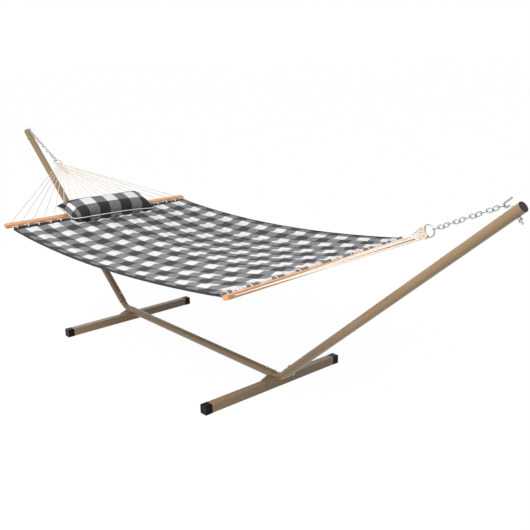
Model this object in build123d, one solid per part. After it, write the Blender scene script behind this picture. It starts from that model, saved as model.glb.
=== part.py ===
from build123d import *
import math
import os

# Hammock on a steel stand, millimetres, +Z up, +X towards the foot end, origin on the floor at the centre.

# Stand: foot beams and their end caps
FOOT_LENGTH = 1016.0
BEAM_SPACING = 1564.0
BEAM_SIZE = 50.8
BEAM_WALL = 2.5
BEAM_CORNER = 5.0
CAP_WALL = 1.15
CAP_GAP = 0.1
CAP_END = 3.5
CAP_LENGTH = 42.0

# Stand: round tubes, elbows and saddles
TUBE_OD = 48.3
TUBE_WALL = 2.8
STUB_WALL = 3.0
STUB_GAP = 0.25
SEAT_GAP = 0.1
CORNER_OFFSET = 58.0
ELBOW_RADIUS = 130.0
ARM_RISE = 40.0
ARM_REACH = 1847.0
SLEEVE_SETBACK = 56.0
STUB_DEPTH = 110.0
SADDLE_PLATE = 3.0
SADDLE_GAP = 0.2
SADDLE_REACH = 75.0
SADDLE_DROP = 28.0
SADDLE_CREST = 30.0
SADDLE_RISE = 16.0

# Stand: bolts of the sleeve joints and the arm plugs
BOLT_SETBACK = 113.0
BOLT_SIZE = 8.0
BOLT_GAP = 0.25
BOLT_HEAD = 16.0
BOLT_HEAD_HEIGHT = 5.0
NUT_FLATS = 13.0
NUT_HEIGHT = 6.5
BOLT_STICKOUT = 9.0
PLUG_FLANGE = 3.0
PLUG_ROUND = 1.5
PLUG_SPIGOT = 20.0
PLUG_WALL = 2.0
PLUG_GAP = 0.2

# Hook bolts and wing nuts
HOOK_FROM_END = 40.0
HOOK_WIRE = 8.0
HOOK_GAP = 0.3
HOOK_RISE = 12.0
HOOK_BEND = 9.0
HOOK_REACH = 29.0
HOOK_GAPE = 19.5
HOOK_TIP = 22.0
HOOK_SHANK = 32.0
WASHER_SIZE = 20.0
WASHER_THICKNESS = 1.6
WING_HUB = 15.0
WING_HUB_HEIGHT = 9.0
WING_SPAN = 44.0
WING_HEIGHT = 17.0
WING_THICKNESS = 3.5
WING_BORE_GAP = 0.15
WING_TURN = -34.0

# Chains and rings
LINK_WIRE = 5.0
LINK_INNER = 28.4
LINK_WIDTH = 14.0
LINK_GAP = 0.2
FOOT_LINKS = 13
HEAD_LINKS = 16
CHAIN_TWIST = 360.0
RING_SIZE = 63.0
RING_WIRE = 6.4

# Spreader bars
HEAD_BAR_X = -1105.0
HEAD_BAR_Z = 762.7
FOOT_BAR_X = 1240.0
FOOT_BAR_Z = 829.0
FOOT_YAW = 3.7
BAR_LENGTH = 1448.0
BAR_WIDTH = 38.0
BAR_THICKNESS = 25.0
BAR_ROUND = 6.0
BAR_TILT = 18.0
BAR_END_MARGIN = 44.0

# Suspension cords and the woven clews at the rings
CORDS_PER_SIDE = 9
CORD_SIZE = 5.0
CORD_BORE_GAP = 0.3
CORD_LEAD = 8.0
CORD_TURN = 10.0
CORD_RETURN = 7.5
CORD_SEAT = 0.3
CLEW_LENGTH = 190.0
CLEW_START = 10.0
CLEW_HALF_WIDTH = 27.0
CLEW_TIP = 5.0
CLEW_BELLY = 20.0
CLEW_BELLY_AT = 70.0
CLEW_FLAT_AT = 110.0
CLEW_THICKNESS = 9.0
CLEW_CUFF = 4.8
CLEW_FIRST = 48.0
CLEW_LAST = 182.0

# Bed of quilted cloth, with a rod in each hem and a binding on each long edge
BED_INSET = 34.0
BED_THICKNESS = 10.0
BED_SAG = 94.0
BED_SKEW = 0.09
BED_DISH = 34.0
BED_CURL = 3.5
BED_RAISED = 350.0
BED_END_RISE = 3.0
BED_SECTIONS = 9
HEM_OFFSET = 70.0
HEAD_HEM_Z = 748.7
FOOT_HEM_Z = 815.5
HEM_SIZE = 24.0
ROD_SIZE = 14.0
ROD_GAP = 0.3
ROD_INSET = 4.0
SLOT_SIDE_GAP = 2.0
BINDING_WIDTH = 12.0
BINDING_PROUD = 1.5
BINDING_GAP = 0.5

# Pillow lying on the head end of the bed
PILLOW_LENGTH = 640.0
PILLOW_DEPTH = 256.0
PILLOW_CROWN = 72.0
PILLOW_BELLY = 26.0
PILLOW_SEAM = 5.0
PILLOW_END_ARC = 0.4
PILLOW_DRAW_IN = 16.0
PILLOW_TILT = 18.5
PILLOW_X = -1040.0
PILLOW_Y = 30.0
PILLOW_SEAT = 0.3
PILLOW_SECTIONS = 9

HEAD = -1
FOOT = 1
SIDES = {"head": HEAD, "foot": FOOT}

# Heights and places worked out from the sizes above
cap_outer = BEAM_SIZE + 2 * (CAP_WALL + CAP_GAP)
beam_bottom = CAP_WALL + CAP_GAP
beam_top = beam_bottom + BEAM_SIZE
beam_x = BEAM_SPACING / 2
tube_axis = beam_top + SEAT_GAP + TUBE_OD / 2
stub_od = TUBE_OD - 2 * TUBE_WALL - 2 * STUB_GAP
corner_x = beam_x + CORNER_OFFSET
hook_station = ARM_REACH - HOOK_FROM_END
hook_low = TUBE_OD / 2 + HOOK_RISE
hook_high = hook_low + HOOK_GAPE
bolt_hole = BOLT_SIZE + 2 * BOLT_GAP
ring_mean = (RING_SIZE - RING_WIRE) / 2
bed_half_width = BAR_LENGTH / 2 - BED_INSET
cord_pitch = (BAR_LENGTH - 2 * BAR_END_MARGIN) / (2 * CORDS_PER_SIDE - 1)
cord_places = [(k - CORDS_PER_SIDE + 0.5) * cord_pitch for k in range(2 * CORDS_PER_SIDE)]
wrap_radius = ROD_SIZE / 2 + CORD_SIZE / 2 + LINK_GAP
bar_centre = {HEAD: (HEAD_BAR_X, HEAD_BAR_Z), FOOT: (FOOT_BAR_X, FOOT_BAR_Z)}


def arm_frame(side):
    """Frame at an elbow's corner: X up along the arm, Z square to it in the stand's plane."""
    rise = math.radians(ARM_RISE)
    along = (side * math.cos(rise), 0, math.sin(rise))
    square = (-side * math.sin(rise), 0, math.cos(rise))
    return Plane(origin=(side * corner_x, 0, tube_axis), x_dir=along, z_dir=square)


def round_tube(start, end, outer, wall):
    """Round tube along X from start to end."""
    section = Circle(outer / 2) - Circle(outer / 2 - wall)
    return extrude(Plane.YZ.offset(start) * section, amount=end - start)


def swept_rod(path, size):
    """Round rod of the given diameter along a path."""
    start = Plane(origin=path @ 0, z_dir=path % 0)
    return sweep(start * Circle(size / 2), path=path)


def base_beam(side):
    """Square foot beam across the stand."""
    length = FOOT_LENGTH - 2 * CAP_END
    section = RectangleRounded(BEAM_SIZE, BEAM_SIZE, BEAM_CORNER)
    inside = BEAM_SIZE - 2 * BEAM_WALL
    section -= RectangleRounded(inside, inside, BEAM_CORNER - BEAM_WALL)
    beam = extrude(Plane.XZ * section, amount=length / 2, both=True)
    return Pos(side * beam_x, 0, beam_bottom + BEAM_SIZE / 2) * beam


def beam_cap(side, hand):
    """Moulded cap that slips over one end of a foot beam; the stand rests on these."""
    corner = BEAM_CORNER + CAP_WALL + CAP_GAP
    pocket = BEAM_SIZE + 2 * CAP_GAP
    body = extrude(Plane.XZ * RectangleRounded(cap_outer, cap_outer, corner), amount=-CAP_LENGTH)
    hollow = extrude(Plane.XZ * RectangleRounded(pocket, pocket, BEAM_CORNER + CAP_GAP),
                     amount=-(CAP_LENGTH - CAP_END))
    cap = body - hollow
    if hand < 0:
        cap = Rot(0, 0, 180) * cap
    return Pos(side * beam_x, hand * (FOOT_LENGTH / 2 - CAP_LENGTH), cap_outer / 2) * cap


def elbow_path(side):
    """Centre line of an elbow: level stub, bend, and stub up the arm."""
    stub = SLEEVE_SETBACK + STUB_DEPTH
    start = (side * (corner_x - stub), 0, tube_axis)
    corner = (side * corner_x, 0, tube_axis)
    end = arm_frame(side).from_local_coords(Vector(stub, 0, 0))
    return FilletPolyline(start, corner, end, radius=ELBOW_RADIUS)


def bolt_places(side):
    """Frames of the two sleeve bolts at one elbow, Z up through the tube."""
    level = Location((side * (corner_x - BOLT_SETBACK), 0, tube_axis))
    raised = arm_frame(side).location * Location((BOLT_SETBACK, 0, 0))
    return [level, raised]


def bolt_bores(side):
    """Bores for the sleeve bolts at one elbow."""
    return [place * Cylinder(bolt_hole / 2, 2 * TUBE_OD) for place in bolt_places(side)]


def elbow(side):
    """Bent stub that the centre tube and the arm slip over."""
    path = elbow_path(side)
    start = Plane(origin=path @ 0, z_dir=path % 0)
    section = Circle(stub_od / 2) - Circle(stub_od / 2 - STUB_WALL)
    return sweep(start * section, path=path) - bolt_bores(side)


def saddle(side):
    """Folded plate over a foot beam, with sloping shoulders that cradle the elbow."""
    shoulder = beam_top + SADDLE_GAP
    crest = shoulder + SADDLE_RISE
    inner_width = BEAM_SIZE + 2 * SADDLE_GAP
    outer_width = inner_width + 2 * SADDLE_PLATE
    outline = Polyline((-SADDLE_REACH, shoulder - SADDLE_DROP), (SADDLE_REACH, shoulder - SADDLE_DROP),
                       (SADDLE_REACH, shoulder), (SADDLE_CREST, crest), (-SADDLE_CREST, crest),
                       (-SADDLE_REACH, shoulder), close=True)
    inside = Pos(0, -SADDLE_PLATE) * make_face(outline)
    body = extrude(Plane.YZ * make_face(outline), amount=outer_width / 2, both=True)
    body -= extrude(Plane.YZ * inside, amount=inner_width / 2, both=True)
    body -= Pos(0, 0, shoulder - BEAM_SIZE) * Box(inner_width, 4 * SADDLE_REACH, 2 * BEAM_SIZE)
    body = Pos(side * beam_x, 0, 0) * body
    sleeve = Plane.YZ * Circle(TUBE_OD / 2 + SADDLE_GAP)
    reach = corner_x - SLEEVE_SETBACK + SADDLE_GAP
    body -= Pos(0, 0, tube_axis) * extrude(sleeve, amount=side * reach)
    return body - swept_rod(elbow_path(side), stub_od + 2 * SADDLE_GAP)


def center_tube():
    """Level tube between the two elbows."""
    half = corner_x - SLEEVE_SETBACK
    tube = Pos(0, 0, tube_axis) * round_tube(-half, half, TUBE_OD, TUBE_WALL)
    return tube - [bolt_bores(HEAD)[0], bolt_bores(FOOT)[0]]


def arm(side):
    """Raised arm, with bores for its sleeve bolt and for the hook bolt."""
    frame = arm_frame(side).location
    hook_bore = Pos(hook_station, 0, 0) * Cylinder(HOOK_WIRE / 2 + HOOK_GAP, 2 * TUBE_OD)
    tube = round_tube(SLEEVE_SETBACK, ARM_REACH, TUBE_OD, TUBE_WALL)
    return frame * (tube - hook_bore) - bolt_bores(side)[1]


def arm_plug(side):
    """Moulded plug in the open top end of an arm."""
    spigot = round_tube(ARM_REACH - PLUG_SPIGOT, ARM_REACH, TUBE_OD - 2 * TUBE_WALL - 2 * PLUG_GAP, PLUG_WALL)
    flange = extrude(Plane.YZ.offset(ARM_REACH) * Circle(TUBE_OD / 2), amount=PLUG_FLANGE)
    flange = fillet(flange.edges().group_by(Axis.X)[-1], PLUG_ROUND)
    return arm_frame(side).location * (spigot + flange)


def joint_bolt(place):
    """Round-headed bolt through a sleeve joint."""
    head = Cylinder(BOLT_HEAD / 2, BOLT_HEAD_HEIGHT, align=(Align.CENTER, Align.CENTER, Align.MIN))
    head = fillet(head.edges().group_by(Axis.Z)[-1], 0.8 * BOLT_HEAD_HEIGHT)
    length = TUBE_OD + BOLT_STICKOUT
    shank = Cylinder(BOLT_SIZE / 2, length, align=(Align.CENTER, Align.CENTER, Align.MAX))
    return place * Pos(0, 0, TUBE_OD / 2) * (head + shank)


def joint_nut(place):
    """Hexagon nut under a sleeve joint."""
    section = RegularPolygon(NUT_FLATS / 2, 6, major_radius=False) - Circle(BOLT_SIZE / 2 + WING_BORE_GAP)
    nut = extrude(section, amount=-NUT_HEIGHT)
    return place * Pos(0, 0, -TUBE_OD / 2) * nut


def hook_frame(side):
    """Frame where a hook bolt crosses the arm's axis: X up along the arm, Z out of its top."""
    return arm_frame(side).location * Location((hook_station, 0, 0))


def hook(side):
    """Hook bolt: shank through the arm, bent back down the arm and over into an open crook."""
    bend = HOOK_GAPE / 2 - LINK_GAP
    path = FilletPolyline((0, 0, -TUBE_OD / 2 - HOOK_SHANK), (0, 0, hook_low), (-HOOK_REACH, 0, hook_low),
                          (-HOOK_REACH, 0, hook_high), (HOOK_TIP, 0, hook_high),
                          radius=[HOOK_BEND, bend, bend])
    return hook_frame(side) * swept_rod(path, HOOK_WIRE)


def crook_centre(side):
    """Centre of the bend that the chain pulls on."""
    place = Pos(HOOK_GAPE / 2 - HOOK_REACH, 0, (hook_low + hook_high) / 2)
    return (hook_frame(side) * place).position


def hook_washer(side):
    """Washer against the underside of the arm."""
    section = Circle(WASHER_SIZE / 2) - Circle(HOOK_WIRE / 2 + HOOK_GAP)
    return hook_frame(side) * Pos(0, 0, -TUBE_OD / 2 - WASHER_THICKNESS) * extrude(section, amount=WASHER_THICKNESS)


def wing_nut(side):
    """Wing nut under the washer: a hub with two raised ears."""
    hub = Cylinder(WING_HUB / 2, WING_HUB_HEIGHT, align=(Align.CENTER, Align.CENTER, Align.MAX))
    ear = Polyline((0, 0), (WING_SPAN / 2 - 6, -WING_HEIGHT / 2), (WING_SPAN / 2, -WING_HEIGHT + 5),
                   (WING_SPAN / 2 - 5, -WING_HEIGHT), (0, -WING_HUB_HEIGHT), close=True)
    plate = extrude(Plane.XZ * make_face(ear), amount=WING_THICKNESS / 2, both=True)
    body = hub + plate + Rot(0, 0, 180) * plate
    body -= Cylinder(HOOK_WIRE / 2 + WING_BORE_GAP, 4 * WING_HEIGHT)
    place = Pos(0, 0, -TUBE_OD / 2 - WASHER_THICKNESS - SEAT_GAP) * Rot(0, 0, WING_TURN)
    return hook_frame(side) * place * body


def pull_direction(side):
    """Unit vector from the crook to the spreader bar, in the stand's plane."""
    x, z = bar_centre[side]
    return (Vector(x, 0, z) - crook_centre(side)).normalized()


def pull_normal(side):
    """Upward normal of the plane that the suspension cords fan out in."""
    pull = pull_direction(side)
    return Vector(side * pull.Z, 0, -side * pull.X)


def chain_start(side):
    """Inner end of the first link, behind the crook's wire."""
    pull = pull_direction(side)
    return crook_centre(side) + pull * (HOOK_GAPE / 2 - HOOK_WIRE / 2 - LINK_GAP)


def link_count(side):
    """Number of links in a chain."""
    return FOOT_LINKS if side == FOOT else HEAD_LINKS


def chain_link():
    """One welded link along X, lying in the XY plane."""
    half_width = (LINK_WIDTH + LINK_WIRE) / 2
    half_length = (LINK_INNER + LINK_WIRE) / 2
    straight = half_length - half_width
    loop = Line((-straight, half_width, 0), (straight, half_width, 0))
    loop += ThreePointArc((straight, half_width, 0), (half_length, 0, 0), (straight, -half_width, 0))
    loop += Line((straight, -half_width, 0), (-straight, -half_width, 0))
    loop += ThreePointArc((-straight, -half_width, 0), (-half_length, 0, 0), (-straight, half_width, 0))
    start = Plane(origin=(-straight, half_width, 0), z_dir=(1, 0, 0))
    return sweep(start * Circle(LINK_WIRE / 2), path=loop.wire())


def chain(side):
    """Links from the hook to the ring, each turned square to the one before it plus its part of a full twist."""
    pull = pull_direction(side)
    count = link_count(side)
    twist = CHAIN_TWIST / (count - 1)
    links = []
    for k in range(count):
        middle = chain_start(side) + pull * (LINK_INNER / 2 + k * (LINK_INNER - LINK_GAP))
        frame = Plane(origin=middle, x_dir=pull, z_dir=pull_normal(side))
        links.append(frame.location * Rot(90 * (k % 2) + twist * k, 0, 0) * chain_link())
    return Compound(children=links)


def ring_centre(side):
    """Centre of the ring that hangs in the last link."""
    chain_length = link_count(side) * (LINK_INNER - LINK_GAP)
    return chain_start(side) + pull_direction(side) * (chain_length - RING_WIRE / 2 + ring_mean)


def ring_frame(side):
    """Frame at a ring's centre: X towards the bar, Z the upward normal of the fan of cords."""
    return Plane(origin=ring_centre(side), x_dir=pull_direction(side), z_dir=pull_normal(side)).location


def ring_turn(side):
    """The foot ring stands on edge, the head ring lies in the fan."""
    return Rot(90, 0, 0) if side == FOOT else Rot(0, 0, 0)


def ring(side):
    """Welded ring."""
    return ring_frame(side) * ring_turn(side) * Torus(ring_mean, RING_WIRE / 2)


def clew_half_width(side, reach):
    """Half width of the woven mat across the fan, at a distance from the ring's centre."""
    if side == HEAD:
        share = (reach - CLEW_START) / (CLEW_LENGTH - CLEW_START)
        return CLEW_HALF_WIDTH + (CLEW_TIP - CLEW_HALF_WIDTH) * share
    if reach < CLEW_BELLY_AT:
        share = (reach - CLEW_START) / (CLEW_BELLY_AT - CLEW_START)
        return CLEW_TIP + (CLEW_BELLY - CLEW_TIP) * share
    share = (reach - CLEW_BELLY_AT) / (CLEW_LENGTH - CLEW_BELLY_AT)
    return CLEW_BELLY + (CLEW_TIP - CLEW_BELLY) * share


def tapered_face(stations):
    """Face about the X axis through pairs of distance and half width."""
    upper = [(x, half) for x, half in stations]
    lower = [(x, -half) for x, half in reversed(stations)]
    return make_face(Polyline(*upper, *lower, close=True))


def clew(side):
    """Woven mat of the cords, from a cuff round the ring to the tip where the last cords part."""
    stations = [(x, clew_half_width(side, x)) for x in (CLEW_START, CLEW_BELLY_AT, CLEW_LENGTH)]
    mat = extrude(tapered_face(stations), amount=2 * CLEW_HALF_WIDTH, both=True)
    thin = CLEW_THICKNESS / 2
    if side == FOOT:
        profile = [(CLEW_START, CLEW_HALF_WIDTH), (CLEW_FLAT_AT, thin), (CLEW_LENGTH, thin)]
    else:
        profile = [(CLEW_START, thin), (CLEW_LENGTH, thin)]
    mat &= extrude(Plane.XZ * tapered_face(profile), amount=2 * CLEW_HALF_WIDTH, both=True)
    mat -= ring_turn(side) * Cylinder(ring_mean + RING_WIRE / 2 + LINK_GAP, 4 * CLEW_HALF_WIDTH)
    cuff = Torus(ring_mean, RING_WIRE / 2 + CLEW_CUFF) - Torus(ring_mean, RING_WIRE / 2 + LINK_GAP)
    keep = Box(RING_SIZE, 2 * RING_SIZE, 2 * RING_SIZE, align=(Align.MIN, Align.CENTER, Align.CENTER))
    cuff &= Pos(CLEW_START, 0, 0) * keep
    return ring_frame(side) * (mat + ring_turn(side) * cuff)


def rod_centre(side):
    """Centre of a hem rod in the stand's plane, before the foot end's turn."""
    height = FOOT_HEM_Z if side == FOOT else HEAD_HEM_Z
    return Vector(bar_centre[side][0] - side * HEM_OFFSET, 0, height)


def bed_share(x):
    """Share of the way from the head rod to the foot rod."""
    start = rod_centre(HEAD).X
    return (x - start) / (rod_centre(FOOT).X - start)


def hang_frame(x):
    """Turn about the vertical at a distance along X: the bed hangs square at its head and askew at its foot."""
    pivot = x + HEM_OFFSET
    return Pos(pivot, 0, 0) * Rot(0, 0, FOOT_YAW * bed_share(x) ** 2) * Pos(-pivot, 0, 0)


def bar_axes(side):
    """Unit vectors of a bar's section: outwards along its width, and up through its thickness."""
    tilt = math.radians(BAR_TILT)
    outward = Vector(side * math.cos(tilt), 0, math.sin(tilt))
    upward = Vector(-side * math.sin(tilt), 0, math.cos(tilt))
    return outward, upward


def bar_frame(side):
    """Frame of a spreader bar: X outwards through the cord bores, Z up."""
    x, z = bar_centre[side]
    outward, upward = bar_axes(side)
    square = Plane(origin=(x, 0, z), x_dir=outward, z_dir=upward).location
    return hang_frame(rod_centre(side).X) * square


def spreader_bar(side):
    """Rounded wooden bar with a bore for each cord."""
    bar = Box(BAR_WIDTH, BAR_LENGTH, BAR_THICKNESS)
    bar = fillet(bar.edges().filter_by(Axis.Y), BAR_ROUND)
    bores = [Pos(0, y, 0) * Rot(0, 90, 0) * Cylinder(CORD_SIZE / 2 + CORD_BORE_GAP, 2 * BAR_WIDTH) for y in cord_places]
    return bar_frame(side) * (bar - bores)


def bed_height(x, y):
    """Height of the bed's middle layer: a chord between the rods, less a skewed sag, plus raised edges."""
    head = rod_centre(HEAD)
    foot = rod_centre(FOOT)
    share = bed_share(x)
    bow = 4 * share * (1 - share)
    chord = head.Z + (foot.Z - head.Z) * share
    sag = BED_SAG * bow * (1 + BED_SKEW * (0.5 - share))
    raised = max(BED_DISH * bow, BED_END_RISE)
    return chord - sag + raised * (abs(y) / bed_half_width) ** BED_CURL


def rod_frame(side):
    """Frame at the middle of a hem rod: Y along the rod."""
    centre = rod_centre(side)
    return hang_frame(centre.X) * Pos(centre)


def hem_rod(side):
    """Wooden rod inside a hem."""
    rod = Rot(90, 0, 0) * Cylinder(ROD_SIZE / 2, 2 * (bed_half_width - ROD_INSET))
    return rod_frame(side) * rod


def tangent_point(point, centre, radius, turn):
    """Point where a line from point touches a circle in the XZ plane, on the side that turn gives."""
    offset = point - centre
    distance = offset.length
    angle = math.atan2(offset.Z, offset.X) + turn * math.acos(radius / distance)
    return centre + Vector(radius * math.cos(angle), 0, radius * math.sin(angle))


def cord(side, y):
    """One cord: from the clew, through its bore in the bar, round the hem rod and back to the bar."""
    place = abs(y) / cord_places[-1]
    reach = CLEW_LAST + (CLEW_FIRST - CLEW_LAST) * place
    half = clew_half_width(side, reach) - CORD_SIZE / 2
    start = (ring_frame(side) * Pos(reach, 0, 0)).position + Vector(0, math.copysign(half, y), 0)
    outward, upward = bar_axes(side)
    shift = Vector(0, y, 0)
    x, z = bar_centre[side]
    middle = Vector(x, 0, z)
    mouth = middle + outward * (BAR_WIDTH / 2 + CORD_LEAD)
    outlet = middle - outward * (BAR_WIDTH / 2 + CORD_LEAD)
    lean = (CORD_SIZE / 2) * math.sin(math.radians(2 * BAR_TILT))
    last = middle - outward * (BAR_WIDTH / 2 + CORD_SEAT + lean) - upward * CORD_RETURN
    rod = rod_centre(side)
    over = tangent_point(outlet, rod, wrap_radius, side)
    under = tangent_point(last, rod, wrap_radius, -side)
    far = rod + (rod - (over + under) * 0.5).normalized() * wrap_radius
    hang = hang_frame(rod.X)
    mouth, outlet, over, far, under, last = [
        (hang * Pos(point + shift)).position for point in (mouth, outlet, over, far, under, last)]
    route = FilletPolyline(start, mouth, outlet, over, radius=CORD_TURN)
    route += ThreePointArc(over, far, under)
    route += Line(under, last)
    return swept_rod(route.wire(), CORD_SIZE)


def cords(side):
    """The fan of cords at one end, cut to the faces of the clew that they come out of."""
    mat = clew(side)
    return Compound(children=[cord(side, y) - mat for y in cord_places])


def bed_station(k):
    """Distance along X of one of the sections through the bed."""
    start = rod_centre(HEAD).X
    return start + (rod_centre(FOOT).X - start) * k / (BED_SECTIONS - 1)


def bed_line(x, lift):
    """Three shallow arcs across the bed, flat in the middle and raised to both edges."""
    edge = bed_half_width
    flat = edge - BED_RAISED
    bend = edge - BED_RAISED / 2
    places = (-edge, -bend, -flat, 0, flat, bend, edge)
    points = [(x, y, bed_height(x, y) + lift) for y in places]
    line = ThreePointArc(*points[0:3])
    line += ThreePointArc(*points[2:5])
    line += ThreePointArc(*points[4:7])
    return line


def bed_section(x):
    """Section across the bed: an upper and a lower line joined by two short sides."""
    half = BED_THICKNESS / 2
    left, right = -bed_half_width, bed_half_width
    edge = bed_height(x, bed_half_width)
    outline = bed_line(x, half) + bed_line(x, -half)
    outline += Line((x, right, edge + half), (x, right, edge - half))
    outline += Line((x, left, edge - half), (x, left, edge + half))
    return hang_frame(x) * make_face(outline)


def bed():
    """Quilted sheet that sags between the bars, with slotted hems round the rods."""
    sheet = loft([bed_section(bed_station(k)) for k in range(BED_SECTIONS)])
    slot = Rot(90, 0, 0) * Cylinder(wrap_radius + CORD_SIZE / 2 + ROD_GAP, CORD_SIZE + 2 * SLOT_SIDE_GAP)
    bore = Rot(90, 0, 0) * Cylinder(ROD_SIZE / 2 + ROD_GAP, 4 * bed_half_width)
    for side in (HEAD, FOOT):
        place = rod_frame(side)
        sheet += place * Rot(90, 0, 0) * Cylinder(HEM_SIZE / 2, 2 * bed_half_width)
        sheet -= place * bore
        sheet -= [place * Pos(0, y, 0) * slot for y in cord_places]
    return sheet


def binding_section(x, hand):
    """Section of an edge binding."""
    edge = bed_height(x, bed_half_width)
    middle = hand * (bed_half_width + BINDING_GAP + BINDING_WIDTH / 2)
    frame = Plane(origin=(x, middle, edge), x_dir=(0, 1, 0), z_dir=(1, 0, 0))
    return hang_frame(x) * frame.location * Rectangle(BINDING_WIDTH, BED_THICKNESS + 2 * BINDING_PROUD)


def edge_binding(hand):
    """Bound edge along one side of the bed."""
    return loft([binding_section(bed_station(k), hand) for k in range(BED_SECTIONS)])


def pillow_half_depth(share):
    """Half depth of the pillow at a share of its half length: drawn in between its corners."""
    return PILLOW_DEPTH / 2 - PILLOW_DRAW_IN * (1 - share * share)


def pillow_swell(share):
    """Share of the full crown at a share of the half length: full in the middle, flat at the end seams."""
    return math.sqrt(max(0.0, 1 - share ** 6))


def pillow_underside(share, along):
    """Depth of the pillow's lower face below its seam plane: an arc across its depth."""
    half = pillow_half_depth(share)
    rise = PILLOW_BELLY * pillow_swell(share) + PILLOW_END_ARC
    radius = (half * half + rise * rise) / (2 * rise)
    return PILLOW_SEAM / 2 + math.sqrt(radius * radius - along * along) - (radius - rise)


def pillow_supports():
    """Points on top of the head bar, the hem and the bed, in the stand's plane."""
    points = []
    outward, upward = bar_axes(HEAD)
    middle = Vector(HEAD_BAR_X, 0, HEAD_BAR_Z)
    flat = BAR_WIDTH / 2 - BAR_ROUND
    rod = rod_centre(HEAD)
    steps = 40
    for i in range(steps + 1):
        share = 2 * i / steps - 1
        points.append(middle + outward * (flat * share) + upward * (BAR_THICKNESS / 2))
        turn = math.pi / 2 * (1 + share)
        points.append(rod + Vector(math.cos(turn), 0, math.sin(turn)) * (HEM_SIZE / 2))
        x = rod.X + PILLOW_DEPTH * i / steps
        points.append(Vector(x, 0, bed_height(x, 0) + BED_THICKNESS / 2))
    return points


def pillow_clears(height):
    """Whether the pillow's lower face is above every support with its middle at this height."""
    tilt = math.radians(PILLOW_TILT)
    steps = 16
    for i in range(2 * steps + 1):
        share = 0.98 * (i / steps - 1)
        y = PILLOW_Y + share * PILLOW_LENGTH / 2
        half = pillow_half_depth(share)
        for point in pillow_supports():
            dish = bed_height(point.X, y) - bed_height(point.X, 0)
            across = point.X - PILLOW_X
            above = point.Z + dish + PILLOW_SEAT - height
            along = across * math.cos(tilt) - above * math.sin(tilt)
            normal = across * math.sin(tilt) + above * math.cos(tilt)
            if abs(along) < half and normal > -pillow_underside(share, along):
                return False
    return True


def pillow_height():
    """Lowest height of the pillow's middle at which its lower face clears its supports, by halving."""
    low = HEAD_BAR_Z - BED_SAG
    high = HEAD_BAR_Z + 2 * PILLOW_DEPTH
    while high - low > PILLOW_SEAT / 8:
        middle = (low + high) / 2
        if pillow_clears(middle):
            high = middle
        else:
            low = middle
    return high


def pillow_section(share):
    """Section through the pillow: crowned above, nearly flat below, with a narrow seam at each side."""
    half = pillow_half_depth(share)
    seam = PILLOW_SEAM / 2
    top = seam + PILLOW_CROWN * pillow_swell(share) + PILLOW_END_ARC
    bottom = pillow_underside(share, 0)
    outline = ThreePointArc((-half, seam), (0, top), (half, seam))
    outline += Line((half, seam), (half, -seam))
    outline += ThreePointArc((half, -seam), (0, -bottom), (-half, -seam))
    outline += Line((-half, -seam), (-half, seam))
    return Plane.XZ.offset(-share * PILLOW_LENGTH / 2) * make_face(outline)


def pillow():
    """Stuffed pillow that leans on the head bar."""
    half = (PILLOW_SECTIONS - 1) / 2
    shares = [math.sin(math.pi / 2 * (k - half) / half) for k in range(PILLOW_SECTIONS)]
    body = loft([pillow_section(share) for share in shares])
    return Pos(PILLOW_X, PILLOW_Y, pillow_height()) * Rot(0, PILLOW_TILT, 0) * body


def save(name, shape):
    """Write one node."""
    export_step(shape, f"parts/{name}.step")


os.makedirs("parts", exist_ok=True)
for end, side in SIDES.items():
    save(f"base_beam_{end}", base_beam(side))
    save(f"beam_cap_{end}_left", beam_cap(side, -1))
    save(f"beam_cap_{end}_right", beam_cap(side, 1))
    save(f"saddle_{end}", saddle(side))
    save(f"elbow_{end}", elbow(side))
    save(f"arm_{end}", arm(side))
    save(f"arm_plug_{end}", arm_plug(side))
    save(f"hook_{end}", hook(side))
    save(f"hook_washer_{end}", hook_washer(side))
    save(f"wing_nut_{end}", wing_nut(side))
    save(f"chain_{end}", chain(side))
    save(f"ring_{end}", ring(side))
    save(f"clew_{end}", clew(side))
    save(f"cords_{end}", cords(side))
    save(f"spreader_bar_{end}", spreader_bar(side))
    save(f"hem_rod_{end}", hem_rod(side))
bolt_frames = bolt_places(HEAD) + bolt_places(FOOT)
save("joint_bolts", Compound(children=[joint_bolt(place) for place in bolt_frames]))
save("joint_nuts", Compound(children=[joint_nut(place) for place in bolt_frames]))
save("center_tube", center_tube())
save("bed", bed())
save("edge_binding_left", edge_binding(-1))
save("edge_binding_right", edge_binding(1))
save("pillow", pillow())
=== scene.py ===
"""Looks of a two-bar cloth hammock on a tubular steel stand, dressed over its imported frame."""

import logging
import math
from dataclasses import dataclass
from enum import Enum

import bpy
import numpy as np
from mathutils import Matrix, Vector


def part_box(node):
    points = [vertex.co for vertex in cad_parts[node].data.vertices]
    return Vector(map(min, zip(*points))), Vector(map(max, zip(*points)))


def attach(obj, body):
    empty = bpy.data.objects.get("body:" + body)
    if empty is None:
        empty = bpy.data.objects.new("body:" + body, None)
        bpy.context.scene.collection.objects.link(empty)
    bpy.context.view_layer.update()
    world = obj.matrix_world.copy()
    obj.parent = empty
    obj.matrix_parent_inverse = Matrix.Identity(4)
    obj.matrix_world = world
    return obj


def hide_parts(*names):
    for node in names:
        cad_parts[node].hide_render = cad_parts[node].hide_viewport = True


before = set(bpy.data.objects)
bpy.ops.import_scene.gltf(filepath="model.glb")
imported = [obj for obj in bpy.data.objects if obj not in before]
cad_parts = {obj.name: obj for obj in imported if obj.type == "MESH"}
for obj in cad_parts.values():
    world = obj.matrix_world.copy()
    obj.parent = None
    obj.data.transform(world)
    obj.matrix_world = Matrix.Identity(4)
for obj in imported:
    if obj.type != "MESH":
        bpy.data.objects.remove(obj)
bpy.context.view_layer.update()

log = logging.getLogger("hammock")

Y_AXIS = np.array([0.0, 1.0, 0.0])
BORES = 18
WHITE = (1.0, 1.0, 1.0, 1.0)

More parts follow.
